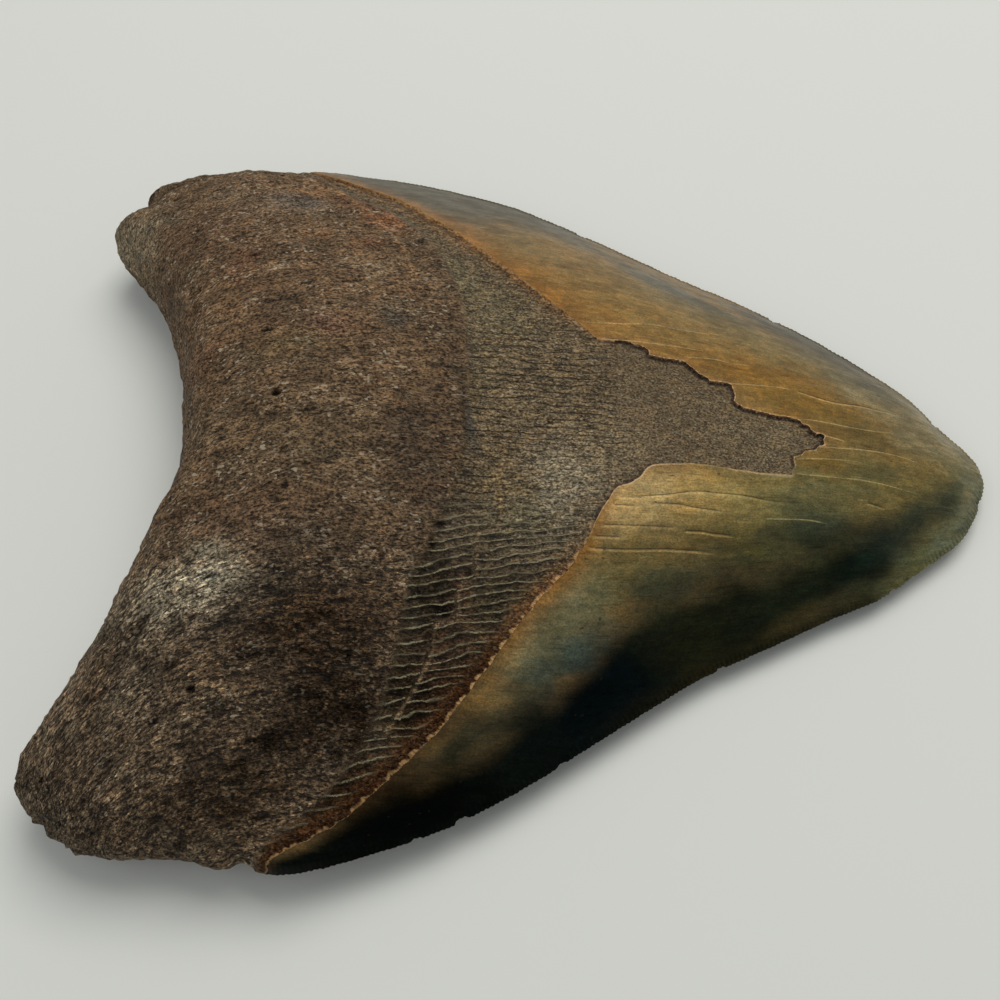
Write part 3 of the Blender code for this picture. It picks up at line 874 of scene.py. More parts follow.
def serration_share(place):
    """1 in the middle of each fine notch of the crown's cutting edges, 0 between notches."""
    phase = place.arc / SERRATION_PITCH + 0.35 * noise([place.arc], [9], 51)
    worn = 0.35 + 0.65 * lift(1.6 * noise([place.arc], [6], 52))
    notch = (0.5 + 0.5 * np.cos(2 * np.pi * phase)) ** 1.5
    return worn * notch * fall(place.depth, 0.1, SERRATION_REACH)


def edge_inset(place):
    """How far the outline and the skin by it move in: chips, worn bone and the fine serrations."""
    worn_bone = lift(1.5 * noise([place.arc], [2.4], 53)) + 0.6 * noise([place.arc], [1.0], 55)
    ragged = 0.42 * (worn_bone - 0.35) * (1 - place.crown) + 0.12 * worn_bone * place.crown
    inset = SERRATION_DEPTH * serration_share(place) * place.crown
    inset += ragged * fall(place.depth, 0.3, 3.0)
    inset += EDGE_MARGIN * place.crown * fall(place.depth, 0.5, 4.0)
    for x, y, radius, deep in CHIPS:
        inset += deep * fall(np.hypot(*(place.plan - (x, y)).T) / radius, 0.35, 1.0)
    return inset


def face_normals(points, triangles):
    """Area-weighted unit normals of the vertices of a triangle mesh."""
    a, b, c = (points[triangles[:, k]] for k in range(3))
    facing = np.cross(b - a, c - a)
    normals = np.zeros_like(points)
    for k in range(3):
        np.add.at(normals, triangles[:, k], facing)
    return normals / np.maximum(np.linalg.norm(normals, axis=1), 1e-12)[:, None]


# ---------------------------------------------------------------- colours
# Tones are sRGB as they look under the studio light; a wash is a soft patch of colour:
# (x, y, half length, half width, angle in degrees, tone, strength)
ROOT_TONE = (90, 75, 58)
NECK_TONE = (86, 75, 58)
ENAMEL_TONE = (130, 106, 64)
UNDER_ROOT_TONE = (88, 74, 58)
UNDER_ENAMEL_TONE = (104, 96, 74)
NIGHT_TONE = (14, 20, 17)
ENAMEL_STRETCH = 1.8  # the enamel's washes wander this much more along X
GREENER_LOSS = (0.32, 0.17, 0.14)  # what the near flank's enamel loses of red, green and blue
WASH_EDGE = 1.3  # a higher power makes a wash's middle flatter and its edge firmer
DARKEST = 0.0004
LIGHTEST = 0.9

ROOT_WASHES = [
    (-60, 42, 6, 9, 60, (122, 114, 98), 0.9),
    (-34, 47, 14, 7, 8, (104, 88, 71), 0.8),
    (-46, 38, 7, 7, 40, (84, 66, 51), 0.75),
    (-36, 21, 18, 10, 15, (97, 78, 59), 0.6),
    (-18, 20, 7, 16, 0, (106, 88, 68), 0.7),
    (-27, -4, 12, 8, 0, (90, 78, 61), 0.7),
    (-11, -7, 6, 8, 0, (60, 50, 40), 0.75),
    (-34, -17, 11, 5, 10, (80, 64, 50), 0.8),
    # The next three washes darken the near lobe: partly its own darker colour, partly painted shade on
    # the side turned from the light
    (-25, -30, 13, 7, 10, (54, 40, 26), 0.95),
    (-23, -41, 12, 8, 25, (34, 25, 16), 0.95),
    (-38, -51, 12, 5, 15, (46, 35, 23), 0.95),
    (-50, -45, 9, 7, 40, (82, 69, 54), 0.85),
    (-58, -50, 6, 5, 40, (66, 56, 44), 0.7),
    # The next four washes, paler and greyer, on the near lobe's shoulder: partly dust, partly painted
    # highlight
    (-41, -24.5, 9, 4.6, 12, (136, 127, 109), 0.85),
    (-38.5, -23.5, 4, 3, 12, (138, 130, 113), 0.6),
    (-39.5, -30, 5, 3, 20, (96, 83, 68), 0.6),
    (-48, -35.5, 9, 3.4, 55, (98, 87, 72), 0.7),
    (-38, 29.6, 4, 2.2, 50, (112, 76, 56), 0.4),
    (-19, 34, 3, 2, 20, (112, 74, 50), 0.4),
    (-28, 36.5, 5, 2.2, 10, (108, 82, 58), 0.5),
    (-41.8, 11, 3, 2.5, 30, (104, 76, 58), 0.35),
    (-29, 12, 6, 3, 10, (98, 86, 60), 0.4),
    (-23.7, 15.2, 4, 2.4, 0, (94, 66, 56), 0.5),
    (-30.8, 47, 5, 2.6, 0, (90, 90, 88), 0.6),
    (-14.6, 16.2, 2, 2.5, 0, (54, 58, 56), 0.7),
    (-17.5, 43, 7, 2.6, -40, (120, 80, 54), 0.6),
    (-27, 51, 10, 3, -20, (112, 84, 58), 0.5),
    (-47, -6, 3, 9, 0, (88, 68, 50), 0.5),
]
NECK_WASHES = [
    (3, 2, 8, 6, 0, (98, 87, 68), 0.8),
    (9, -10, 7, 5, 60, (126, 120, 106), 0.9),
    (3, -15.5, 5, 3.5, 10, (98, 94, 77), 0.85),
    (15, -4, 6, 4, 0, (112, 102, 83), 0.8),
    (-2.2, 5, 3, 5, 0, (92, 82, 60), 0.6),
    (10, 12, 8, 6, -40, (93, 82, 63), 0.6),
    (-1, 14, 6, 7, 0, (98, 88, 68), 0.7),
    (-7, -12, 4, 6, 0, (70, 62, 49), 0.7),
    # The next washes darken the neck's near side: partly its own colour, partly painted shade
    (-9, -26, 6, 8, 0, (38, 32, 22), 0.95),
    (0, -27, 5, 7, -30, (50, 45, 31), 0.95),
    (-12, -39, 7, 9, 30, (31, 24, 15), 0.95),
    (-7.2, -36.8, 6, 2.4, 48, (27, 18, 12), 0.8),
    (-22, -49, 7, 5, 35, (34, 26, 17), 0.95),
    (29, 1, 14, 7, 0, (87, 76, 57), 0.8),
    (39, -1, 7, 5, 0, (92, 83, 66), 0.8),
    (22, 7, 5, 4, 0, (80, 70, 52), 0.7),
    (-4.5, 4, 1.2, 12, 0, (56, 58, 58), 0.75),
    (0, -9.5, 4, 4, 10, (104, 92, 68), 0.6),
    (-4.6, -25.5, 2, 5, -12, (82, 56, 36), 0.6),
    (-9, -33, 2.6, 5, -30, (68, 48, 32), 0.6),
    (-7, 27, 6, 4, -50, (96, 93, 73), 0.7),
    (-13.4, 40.8, 3, 2.5, 0, (98, 98, 82), 0.6),
    (1, 19, 6, 4, -40, (93, 87, 67), 0.6),
]
ENAMEL_WASHES = [
    (10, 25, 16, 4, -40, (142, 105, 53), 0.8),
    (-6, 43, 10, 2.5, -40, (130, 92, 46), 0.7),
    (3, 39, 7, 5, -40, (110, 92, 58), 0.6),
    (24, 22, 12, 6, -20, (134, 109, 64), 0.7),
    (38, 11, 12, 3.5, -8, (132, 98, 41), 0.8),
    (46, 6, 9, 3, -5, (126, 99, 43), 0.8),
    (34, 25, 14, 4, -30, (114, 103, 74), 0.7),
    (48, 18, 12, 5, -30, (118, 103, 66), 0.8),
    (59, 12, 8, 5, -40, (132, 124, 99), 0.85),
    (56, 2, 9, 3, -5, (96, 82, 45), 0.8),
    (66, 4, 6, 5, -40, (130, 123, 98), 0.85),
    (71, -4, 4, 6, 60, (114, 110, 84), 0.85),
    # The next two washes, the palest, by the near edge of the enamel: partly its pale colour, partly
    # painted highlight
    (19, -11.5, 9, 5, 0, (200, 176, 130), 0.95),
    (32, -10, 11, 4, 0, (170, 145, 92), 0.9),
    (46, -8, 9, 4, 0, (130, 115, 78), 0.8),
    (54, -4.5, 6, 3, 0, (112, 98, 62), 0.7),
    (8, -28, 11, 4.5, 46, (112, 114, 94), 0.9),
    (17, -20, 8, 4, 30, (108, 98, 60), 0.8),
    (30, -15.4, 9, 3.2, 8, (92, 82, 48), 0.9),
    (30, -19.0, 8, 2.2, 8, (56, 60, 43), 0.7),
    (35.4, -17.6, 4, 1.8, 8, (92, 86, 46), 0.8),
    (44, -14.5, 8, 4, 8, (60, 58, 37), 0.85),
    (7.6, -30.4, 4.5, 3.2, 44, (106, 104, 80), 0.9),
    (13, -25.0, 4, 2.8, 40, (92, 92, 68), 0.75),
    (46.5, -3.6, 6, 2.0, -4, (134, 100, 46), 0.8),
    (5.0, -35.2, 5, 3.0, 44, (60, 68, 58), 0.85),
    (9.8, -32.0, 6, 1.8, 44, (66, 82, 78), 0.85),
    (-0.5, -40.4, 5.5, 3.2, 44, (44, 48, 37), 0.9),
    (-6.5, -44.2, 6, 3.4, 40, (46, 48, 34), 0.95),
    (-18, -51, 10, 3, 30, (22, 17, 9), 0.95),
    (62, -16, 6, 3, 32, (108, 107, 76), 0.9),
    (66.5, -12.3, 4, 2, 40, (106, 106, 84), 0.8),
    (45.5, -11.4, 5, 1.7, 5, (66, 72, 56), 0.8),
    (41, -13.8, 6, 1.6, 5, (50, 56, 40), 0.7),
    (23, -22.3, 6, 2.2, 12, (58, 70, 54), 0.8),
    (34.8, -22.6, 4, 2.2, 0, (26, 30, 18), 0.7),
]
# The line past which the enamel's near flank is blue-black
DARK_LINE = [
    (-30.5, -57.6), (-26, -55.7), (-20.9, -53), (-15.7, -49.9), (-11.2, -47.7),
    (-6.3, -44.8), (-1.2, -41.8), (2.8, -38.8), (5.5, -36.5), (8.2, -33.9), (10.7, -31.4),
    (13, -29.2), (15, -26.8), (18.3, -24.2), (22, -22.8), (27, -21.4), (31, -20.3),
    (40, -17.4), (49, -13.8), (55, -12), (60, -13), (75, -12),
]
BLUE_BLACK_WASHES = [
    (13, -36, 13, 6, 30, (3, 12, 17), 1.0),
    (-14, -51, 14, 5, 24, (2, 4, 4), 1.0),
    (22, -25.5, 10, 3.4, 12, (36, 40, 27), 0.95),
    (27, -28, 9, 4, 24, (28, 31, 17), 0.9),
    (40, -22.5, 9, 3, 20, (32, 36, 24), 0.9),
    (42.5, -17.5, 5, 2, 10, (50, 50, 30), 0.8),
    (49.5, -14, 4, 2, 20, (48, 48, 29), 0.8),
    (54, -16.5, 5, 2.6, 25, (22, 34, 27), 1.0),
]
# Patches with firm outlines, laid over everything on the upper side
SMEARS = [
    (57.0, -13.6, 5.5, 2.6, 24, (27, 36, 29), 0.9),
    (61.2, -9.9, 5.2, 2.5, 40, (36, 44, 32), 0.9),
    (66.8, -7.2, 4.0, 2.2, 44, (43, 50, 37), 0.85),
    (50, -21.3, 6, 1.5, 25, (48, 47, 27), 0.85),
    (58.5, -18.6, 5, 1.6, 28, (80, 78, 48), 0.85),
    (25.6, 33.3, 7, 2.2, -36, (80, 77, 65), 0.55),
    (70.9, -5.4, 2.4, 1.3, 70, (124, 112, 82), 0.5),
    (43, -24.4, 6, 1.2, 24, (62, 52, 24), 0.8),
    (39.5, 35.2, 8, 1.0, -32, (122, 98, 62), 0.6),
    (29.5, 31.8, 12, 2.0, -36, (76, 76, 66), 0.8),
    (14.0, 43.0, 8, 1.6, -32, (84, 78, 58), 0.5),
    (-8.1, -17.0, 1.0, 0.5, 20, (12, 10, 8), 0.9),
    (-9.2, -19.7, 0.5, 1.2, 0, (12, 10, 8), 0.85),
    (-4.3, -23.2, 0.7, 0.7, 0, (10, 8, 7), 0.9),
    (-11.4, -26.2, 1.3, 0.7, 15, (12, 10, 8), 0.8),
    (-7.8, -27.9, 1.7, 0.8, 10, (16, 13, 13), 0.85),
    (-9.9, -31.2, 1.2, 0.7, 10, (12, 10, 8), 0.8),
    (-32.2, 28.1, 1.2, 0.6, 20, (150, 132, 106), 0.6),
    (-18.2, 44.6, 0.9, 0.5, -20, (176, 158, 128), 0.6),
    (-35.4, 20.9, 1.4, 0.6, 20, (134, 116, 92), 0.5),
]
# Low pale ridges of the neck: (points, half width, height, tone, strength)
RIDGES = [
    ([(-30.8, 56.5), (-26.4, 53.3), (-20.9, 46.8), (-16.5, 39.4), (-13.9, 33.8), (-12.2, 28.6),
      (-11.4, 25.4)], 0.4, 0.18, (142, 112, 82), 0.45),
    ([(-26.0, 57.6), (-18.4, 51.0), (-10.6, 42.4), (-3.6, 34.4)], 0.35, 0.12, (136, 100, 66), 0.4),
]
NEAR_BLADE_TONE = (44, 40, 22)
TIP_RIM_TONE = (120, 115, 94)
UNDER_EDGE_TONE = (14, 13, 9)
FAR_EDGE_GREY_AND_SHEEN_TONE = (68, 67, 59)
MARGIN_TONE = (138, 96, 42)
MARGIN_SHADE_TONE = (54, 38, 19)
NECK_STRIP_TONE = (96, 66, 34)
NECK_SHADE_TONE = (42, 25, 15)
RIM_HIGHLIGHT_TONE = (214, 186, 142)
CREST_HIGHLIGHT_TONE = (196, 156, 106)
CUT_FACE_SHADE_TONE = (84, 52, 32)
LIP_HIGHLIGHT_TONE = (214, 178, 138)
SHADOW_TONE = (14, 11, 9)
CRACK_TONE = (40, 29, 16)
CRACK_LIP_HIGHLIGHT_TONE = (206, 178, 128)
PALE_LINE_HIGHLIGHT_TONE = (206, 180, 134)
FLAKE_TONE = (150, 124, 88)
UNDER_ENAMEL_WASHES = [
    (20, 18, 22, 10, -30, (120, 106, 76), 0.8),
    (30, -10, 24, 8, 10, (70, 72, 56), 0.8),
    (58, -6, 12, 8, 10, (96, 92, 70), 0.7),
    (0, -34, 16, 9, 35, (36, 42, 36), 0.9),
    (-10, 36, 14, 10, -40, (110, 98, 74), 0.8),
    (-12, -6, 10, 22, 0, (124, 98, 60), 0.6),
    (10, 4, 12, 6, 0, (58, 64, 54), 0.6),
]
UNDER_ROOT_WASHES = [
    (-45, 38, 14, 10, 40, (98, 84, 66), 0.8),
    (-46, -40, 14, 10, -40, (72, 60, 46), 0.8),
    (-34, 4, 8, 18, 0, (80, 66, 51), 0.7),
    (-40, -14, 8, 6, 20, (108, 96, 78), 0.5),
    (-30, 26, 8, 6, -20, (106, 76, 54), 0.5),
]


def linear(tone):
    """Linear RGB of an sRGB tone from 0 to 255."""
    share = np.asarray(tone, dtype=float) / 255
    return np.where(share <= 0.04045, share / 12.92, ((share + 0.055) / 1.055) ** 2.4)


def washed(place, tone, washes, stretch):
    """A base tone with soft washes over it, their edges wandering with the surface."""
    x = place.x + 2.2 * stretch * place.noise(7 * stretch, 6, 61)
    y = place.y + 1.5 * place.noise(7 * stretch, 5, 62)
    x += 0.8 * stretch * place.noise(2.2 * stretch, 1.8, 63)
    y += 0.5 * place.noise(2.2 * stretch, 1.8, 64)
    wandered = np.column_stack([x, y])
    colour = np.tile(linear(tone), (len(x), 1))
    for wash in washes:
        colour = laid_over(colour, wash_share(wandered, wash), wash[5])
    return colour


def extended(line):
    """The line with its ends carried well past the tooth's outline."""
    first = line[0] - 30 * (line[1] - line[0]) / np.linalg.norm(line[1] - line[0])
    last = line[-1] + 40 * (line[-1] - line[-2]) / np.linalg.norm(line[-1] - line[-2])
    return np.vstack([first, line, last])


def wash_share(points, wash):
    """How strongly one wash covers each plan point."""
    a, b = in_oval(points, wash[:4], math.radians(wash[4]))
    return wash[6] * np.exp(-((a * a + b * b) ** WASH_EDGE))


def laid_over(colour, share, tone):
    """The colour with a tone laid over it, by a share for each vertex."""
    return colour + share[:, None] * (linear(tone) - colour)


def enamel_paint(place, lines, wander, along_edge):
    """The enamel's colour: washes, the blue-black near flank, its edges with their painted sheen and
    highlights, cracks and notches.
    """
    x, y = place.plan.T
    upper = place.is_upper
    near_side = fall(y, -8, 0)
    enamel = np.where(
        upper[:, None],
        washed(place, ENAMEL_TONE, ENAMEL_WASHES, ENAMEL_STRETCH),
        washed(place, UNDER_ENAMEL_TONE, UNDER_ENAMEL_WASHES, ENAMEL_STRETCH),
    )
    # A greyer band along the far cutting edge: partly the enamel's own grey, partly painted sheen
    widening = ease(-x, -14, 8)
    far = fall(place.depth + wander, 3 + 6 * widening, 12 + 8 * widening)
    far *= ease(y, -2, 12) * ease(70 - x, 0, 14) * (1 - 0.65 * ease(x, 12, 22) * fall(x, 36, 44))
    enamel = laid_over(enamel, 0.85 * far, FAR_EDGE_GREY_AND_SHEEN_TONE)

    below = -tip_side_distance(place.plan, extended(smooth_line(DARK_LINE, 0.5)))
    looser = ease(x, -14, 12)
    below = np.where(y > 0, FAR_OFF, below) + (0.12 + 0.4 * looser) * wander
    reach = 1.0 + 1.5 * ease(x, -24, -8) + 1.2 * looser
    dark = ease(below, -reach, reach) * fall(x, 55, 61) * upper
    night = washed(place, NIGHT_TONE, BLUE_BLACK_WASHES, ENAMEL_STRETCH)
    enamel = enamel + dark[:, None] * (night - enamel)

    blade = fall(place.depth + 0.4 * wander, 0.5, 3.2) * near_side * ease(x, 8, 30)
    rim = fall(place.depth + 0.3 * wander, 1.5, 5.5) * ease(x, 60, 68)
    under_edge = fall(place.depth, 1.0, 5.0) * near_side * fall(x, 52, 64) * ~upper
    band = np.where(y > 0, 2.0, 0.5 + 1.4 * ease(x, -26, -2)) + 0.4 * along_edge
    strip = bell(place.margin, band) * (1 - 0.75 * ease(x, 14, 20))
    shaded_end = shaded_share(place)
    # A pale line on the raised lip of the near flank's enamel edge: partly its pale edge, partly
    # painted highlight
    crumbs = lift(1.8 * place.noise(0.9, 0.9, 73)) * (0.3 - 0.2 * ease(y, 14, 22))
    lit = bell(place.margin - 0.22, 0.2) * crumbs * ease(y, -16, -9)
    for share, tone in (
        (0.6 * blade * fall(x, 50, 60) * upper, NEAR_BLADE_TONE),
        (0.85 * rim, TIP_RIM_TONE),
        (0.96 * under_edge, UNDER_EDGE_TONE),
        (0.8 * strip * (1 - shaded_end), MARGIN_TONE),
        (0.7 * strip * shaded_end, MARGIN_SHADE_TONE),
        (lit, RIM_HIGHLIGHT_TONE),
        (0.75 * lines["cracks"], CRACK_TONE),
        # Pale crack lips: partly painted highlight
        (0.5 * lines["crack_lip_highlights"] * (1 - 0.7 * dark), CRACK_LIP_HIGHLIGHT_TONE),
        # Pale raised lines: partly painted highlight
        (0.6 * lines["pale"] * (1 - 0.6 * dark), PALE_LINE_HIGHLIGHT_TONE),
    ):
        enamel = laid_over(enamel, share, tone)
    enamel = enamel * (1 - 0.7 * lines["notches"] * near_side)[:, None]
    greener = ease(x, 24, 42) * fall(y, -5, 2) * upper
    return enamel * (1 - greener[:, None] * GREENER_LOSS)


def shaded_share(place):
    """1 along the near root end of the enamel's edge, which lies in shade, 0 further on."""
    return fall(place.x, -9, 7) * fall(place.y, -8, 0)


def neck_paint(place, along_edge):
    """The neck's colour: washes, a strip along the enamel and the flake's pale edge."""
    y = place.y
    neck_strip = bell(place.margin, 1.3 + 0.4 * along_edge + 0.8 * shaded_share(place))
    warm = neck_strip * (fall(y, -25, -15) + 0.8 * ease(y, 14, 22))
    flake_edge = bell(place.flake - 0.25, 0.2) * ease(-y, 3, 8)
    neck = washed(place, NECK_TONE, NECK_WASHES, 1.0)
    neck = laid_over(neck, np.clip(0.8 * warm, 0, 1), NECK_STRIP_TONE)
    neck = laid_over(neck, 0.9 * neck_strip * fall(y, -35, -26), NECK_SHADE_TONE)
    return laid_over(neck, 0.35 * flake_edge, FLAKE_TONE)


def paint(place, lines):
    """Linear base colour of every vertex; lines has the shares of the cracks and pale lines, and the
    painted light and shade of the bone's strands.
    """
    upper = place.is_upper
    root = np.where(
        upper[:, None],
        washed(place, ROOT_TONE, ROOT_WASHES, 1.0),
        washed(place, UNDER_ROOT_TONE, UNDER_ROOT_WASHES, 1.0),
    )
    along_edge = place.noise(3.5, 2.5, 72)
    enamel = enamel_paint(place, lines, 2.5 * place.noise(9, 5, 71), along_edge)
    neck = neck_paint(place, along_edge)
    for points, half_width, _, tone, strength in RIDGES:
        ridge = strength * line_groove(place, points, half_width)
        neck = laid_over(neck, ridge, tone)
        root = laid_over(root, ridge, tone)
    # Painted shade in the hollows between the bone's strands and painted light on their crests,
    # stronger on the near side
    strand_shade_contrast = 1.1 + 1.3 * ease(-place.y, 5, 30)
    root = root * np.clip(1 + strand_shade_contrast * (0.29 - lines["hollow"]), 0.35, 1.7)[:, None]
    colour = root * BONE_GAIN * place.root[:, None] + neck * NECK_GAIN * place.neck[:, None]
    colour += enamel * ENAMEL_GAIN * place.enamel[:, None]
    for smear in SMEARS:
        colour = laid_over(colour, wash_share(place.plan, smear) * upper, smear[5])
    return np.clip(colour, DARKEST, LIGHTEST)


# ---------------------------------------------------------------- the tooth
def surface_plan(outline):
    """What every vertex knows, and the triangles of the upper face and then the lower one."""
    find_outline = line_finder(outline, closed=True)
    margin = enamel_margin()
    margin_line = np.vstack([[(-34.0, 66.0)], margin, [(-35.0, -61.5)]])
    neck_line = np.vstack([[(-34.5, 66.0)], smooth_line(NECK_LINE), [(-37.0, -61.0)]])
    upper, upper_triangles = upper_plan(outline, find_outline, margin, neck_line)
    lower, lower_triangles = lower_plan(outline, find_outline)
    place = Places(upper, lower, outline, find_outline, margin_line, neck_line)
    count = len(outline)
    shared = np.where(lower_triangles < count, lower_triangles, lower_triangles + len(upper) - count)
    return place, np.vstack([upper_triangles, shared[:, ::-1]])


def carved(place, cracks, pale_lines):
    """How far every vertex lies under the body, and how much painted shade it gets in the pits,
    openings and furrows.
    """
    rng = np.random.default_rng(PIT_SEED)
    pits = pitted(place, scattered_pits(rng, *UPPER_PITS), place.is_upper)
    pits += pitted(place, scattered_pits(rng, *LOWER_PITS), ~place.is_upper)
    pits *= place.root
    # Painted shade in the pits, openings and furrows; in the pits it follows their depth
    cavity_shade = PIT_SHADE * pits / PIT_DEPTH[1]
    deep = np.zeros(len(place.x))
    hollows = [
        (oval_share(place.plan, opening[:4], (0.55, 1.15)) * place.is_upper, opening[4], 1.0)
        for opening in OPENINGS
    ]
    for points, half_width, depth, painted_shade in FURROWS:
        hollows.append((line_groove(place, points, half_width), depth, painted_shade))
    for share, depth, painted_shade in hollows:
        deep = np.maximum(deep, depth * share)
        cavity_shade = np.maximum(cavity_shade, painted_shade * share)
    for points, half_width, height, _, _ in RIDGES:
        deep -= height * line_groove(place, points, half_width)
    relief = place.root * (bone_relief(place) + pits + deep)
    relief += place.neck * (neck_relief(place) + deep)
    lines = CRACK_DEPTH * cracks - PALE_LINE_HEIGHT * pale_lines
    return relief + place.enamel * (enamel_relief(place) + lines), np.clip(cavity_shade, 0, 1)


def skin_points(place, triangles, outline, relief):
    """The fine surface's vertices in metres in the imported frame."""
    labial_step = LABIAL_STEP * (1 - place.enamel) * bell(place.margin, 6) * ~place.is_upper
    body = np.column_stack([place.plan, place.z - neck_sink(place) + labial_step])
    resting = ~place.is_upper * fall(place.z, 0.3, 1.5)
    inward = relief + SKIN_MARGIN * (1 - resting)
    inward *= 1 - place.crown * fall(place.depth, 0.0, 1.0)
    skin = body - face_normals(body, triangles) * inward[:, None]
    nearest = np.round(place.turn).astype(int) % len(outline)
    skin[:, :2] += inward_directions(outline)[nearest] * edge_inset(place)[:, None]
    above = np.maximum(skin[:, 2] - SUMMIT_SOFTENS_AT, 0)
    skin[:, 2] = np.clip(skin[:, 2] - 0.5 * above, 0.0, ROOT_THICKNESS - BOX_CLEARANCE)
    points = (skin - (*drawing_middle(), 0.0)) * MM
    low, high = (np.array(corner)[:2] for corner in cad_box)
    points[:, :2] = np.clip(points[:, :2], low + BOX_CLEARANCE * MM, high - BOX_CLEARANCE * MM)
    return points


def build_tooth():
    """The whole tooth as one closed mesh with its paint and its texture directions."""
    outline = fine_outline()
    place, triangles = surface_plan(outline)
    cracks = line_share(place, CRACKS, 0.0)
    pale_lines = line_share(place, PALE_LINES, 0.0)
    relief, cavity_shade = carved(place, cracks, pale_lines)
    points = skin_points(place, triangles, outline, relief)
    data = bpy.data.meshes.new("tooth_surface")
    data.from_pydata(points.tolist(), [], triangles.tolist())
    data.validate()
    data.shade_smooth()
    ends = np.empty(2 * len(data.edges), dtype=np.int32)
    data.edges.foreach_get("vertices", ends)
    on_edge = (np.arange(len(points)) < len(outline)) & (place.x > CROWN_STARTS_AT_X)
    sharp = data.attributes.new("sharp_edge", "BOOLEAN", "EDGE")
    sharp.data.foreach_set("value", on_edge[ends.reshape(-1, 2)].all(axis=1))

    lines = {
        "cracks": cracks,
        "crack_lip_highlights": line_share(place, CRACKS, -LIP_PLACE),
        "pale": pale_lines,
        "hollow": bone_strands(place),
        "notches": serration_share(place),
    }
    colour = paint(place, lines)
    store(data, "tint", "FLOAT_COLOR", (*colour.T, np.ones(len(points))))
    store(data, "zones", "FLOAT_VECTOR", (place.root, place.neck, place.enamel))
    store(data, "grain", "FLOAT_VECTOR", place.grain.T)
    store(data, "flow", "FLOAT_VECTOR", place.flow.T)
    store(data, "rib", "FLOAT", (place.rib,))
    store_marks(data, place, cavity_shade, colour)
    tooth = bpy.data.objects.new("tooth_surface", data)
    bpy.context.scene.collection.objects.link(tooth)
    return tooth


def store_marks(data, place, cavity_shade, colour):
    """Keeps where the material draws painted shade in the root's cavities, ribs, grooves, the margin's
    lines, scales and shine.
    """
    x, y = place.plan.T
    upper = place.is_upper
    ribbed = place.ribbed(5) * upper
    grooved = (1 - ribbed) * upper * fall(y, 10, 22)
    ribbed *= ease(-place.margin, 1.0, 2.2)
    store(data, "marks", "FLOAT_VECTOR", (cavity_shade, grooved, ribbed))
    by_flank = fall(y, -16, -12) * (0.45 + 0.45 * ease(x, -26, 2))
    by_flank = np.maximum(by_flank, 0.5 * ease(y, 13, 17) * ease(x, -22, -10)) * upper
    shine = 0.02 + 0.16 * ease(colour[:, 1], 0.002, 0.04)
    store(data, "edge", "FLOAT_VECTOR", (np.clip(place.margin, -4, 4), by_flank, shine))
    near_lip = ease(y, -19, -14) * fall(y, -6.4, -5.6) * ease(x, 2, 6)
    broken = np.maximum(ease(y, -5.5, -3.5) * ease(x, 13, 19), 0.8 * near_lip) * upper
    scaly = ease(-y, 12, 26) * upper
    smoothed = bell(x - 10, 8) * bell(y + 9, 6) * upper
    store(data, "wear", "FLOAT_VECTOR", (broken, scaly, smoothed))


def store(data, name, kind, columns):
    """Keeps one value for each vertex under a name that the material reads."""
    field = {"FLOAT_COLOR": "color", "FLOAT_VECTOR": "vector", "FLOAT": "value"}[kind]
    layer = data.attributes.new(name, kind, "POINT")
    layer.data.foreach_set(field, np.column_stack(columns).astype(np.float32).ravel())


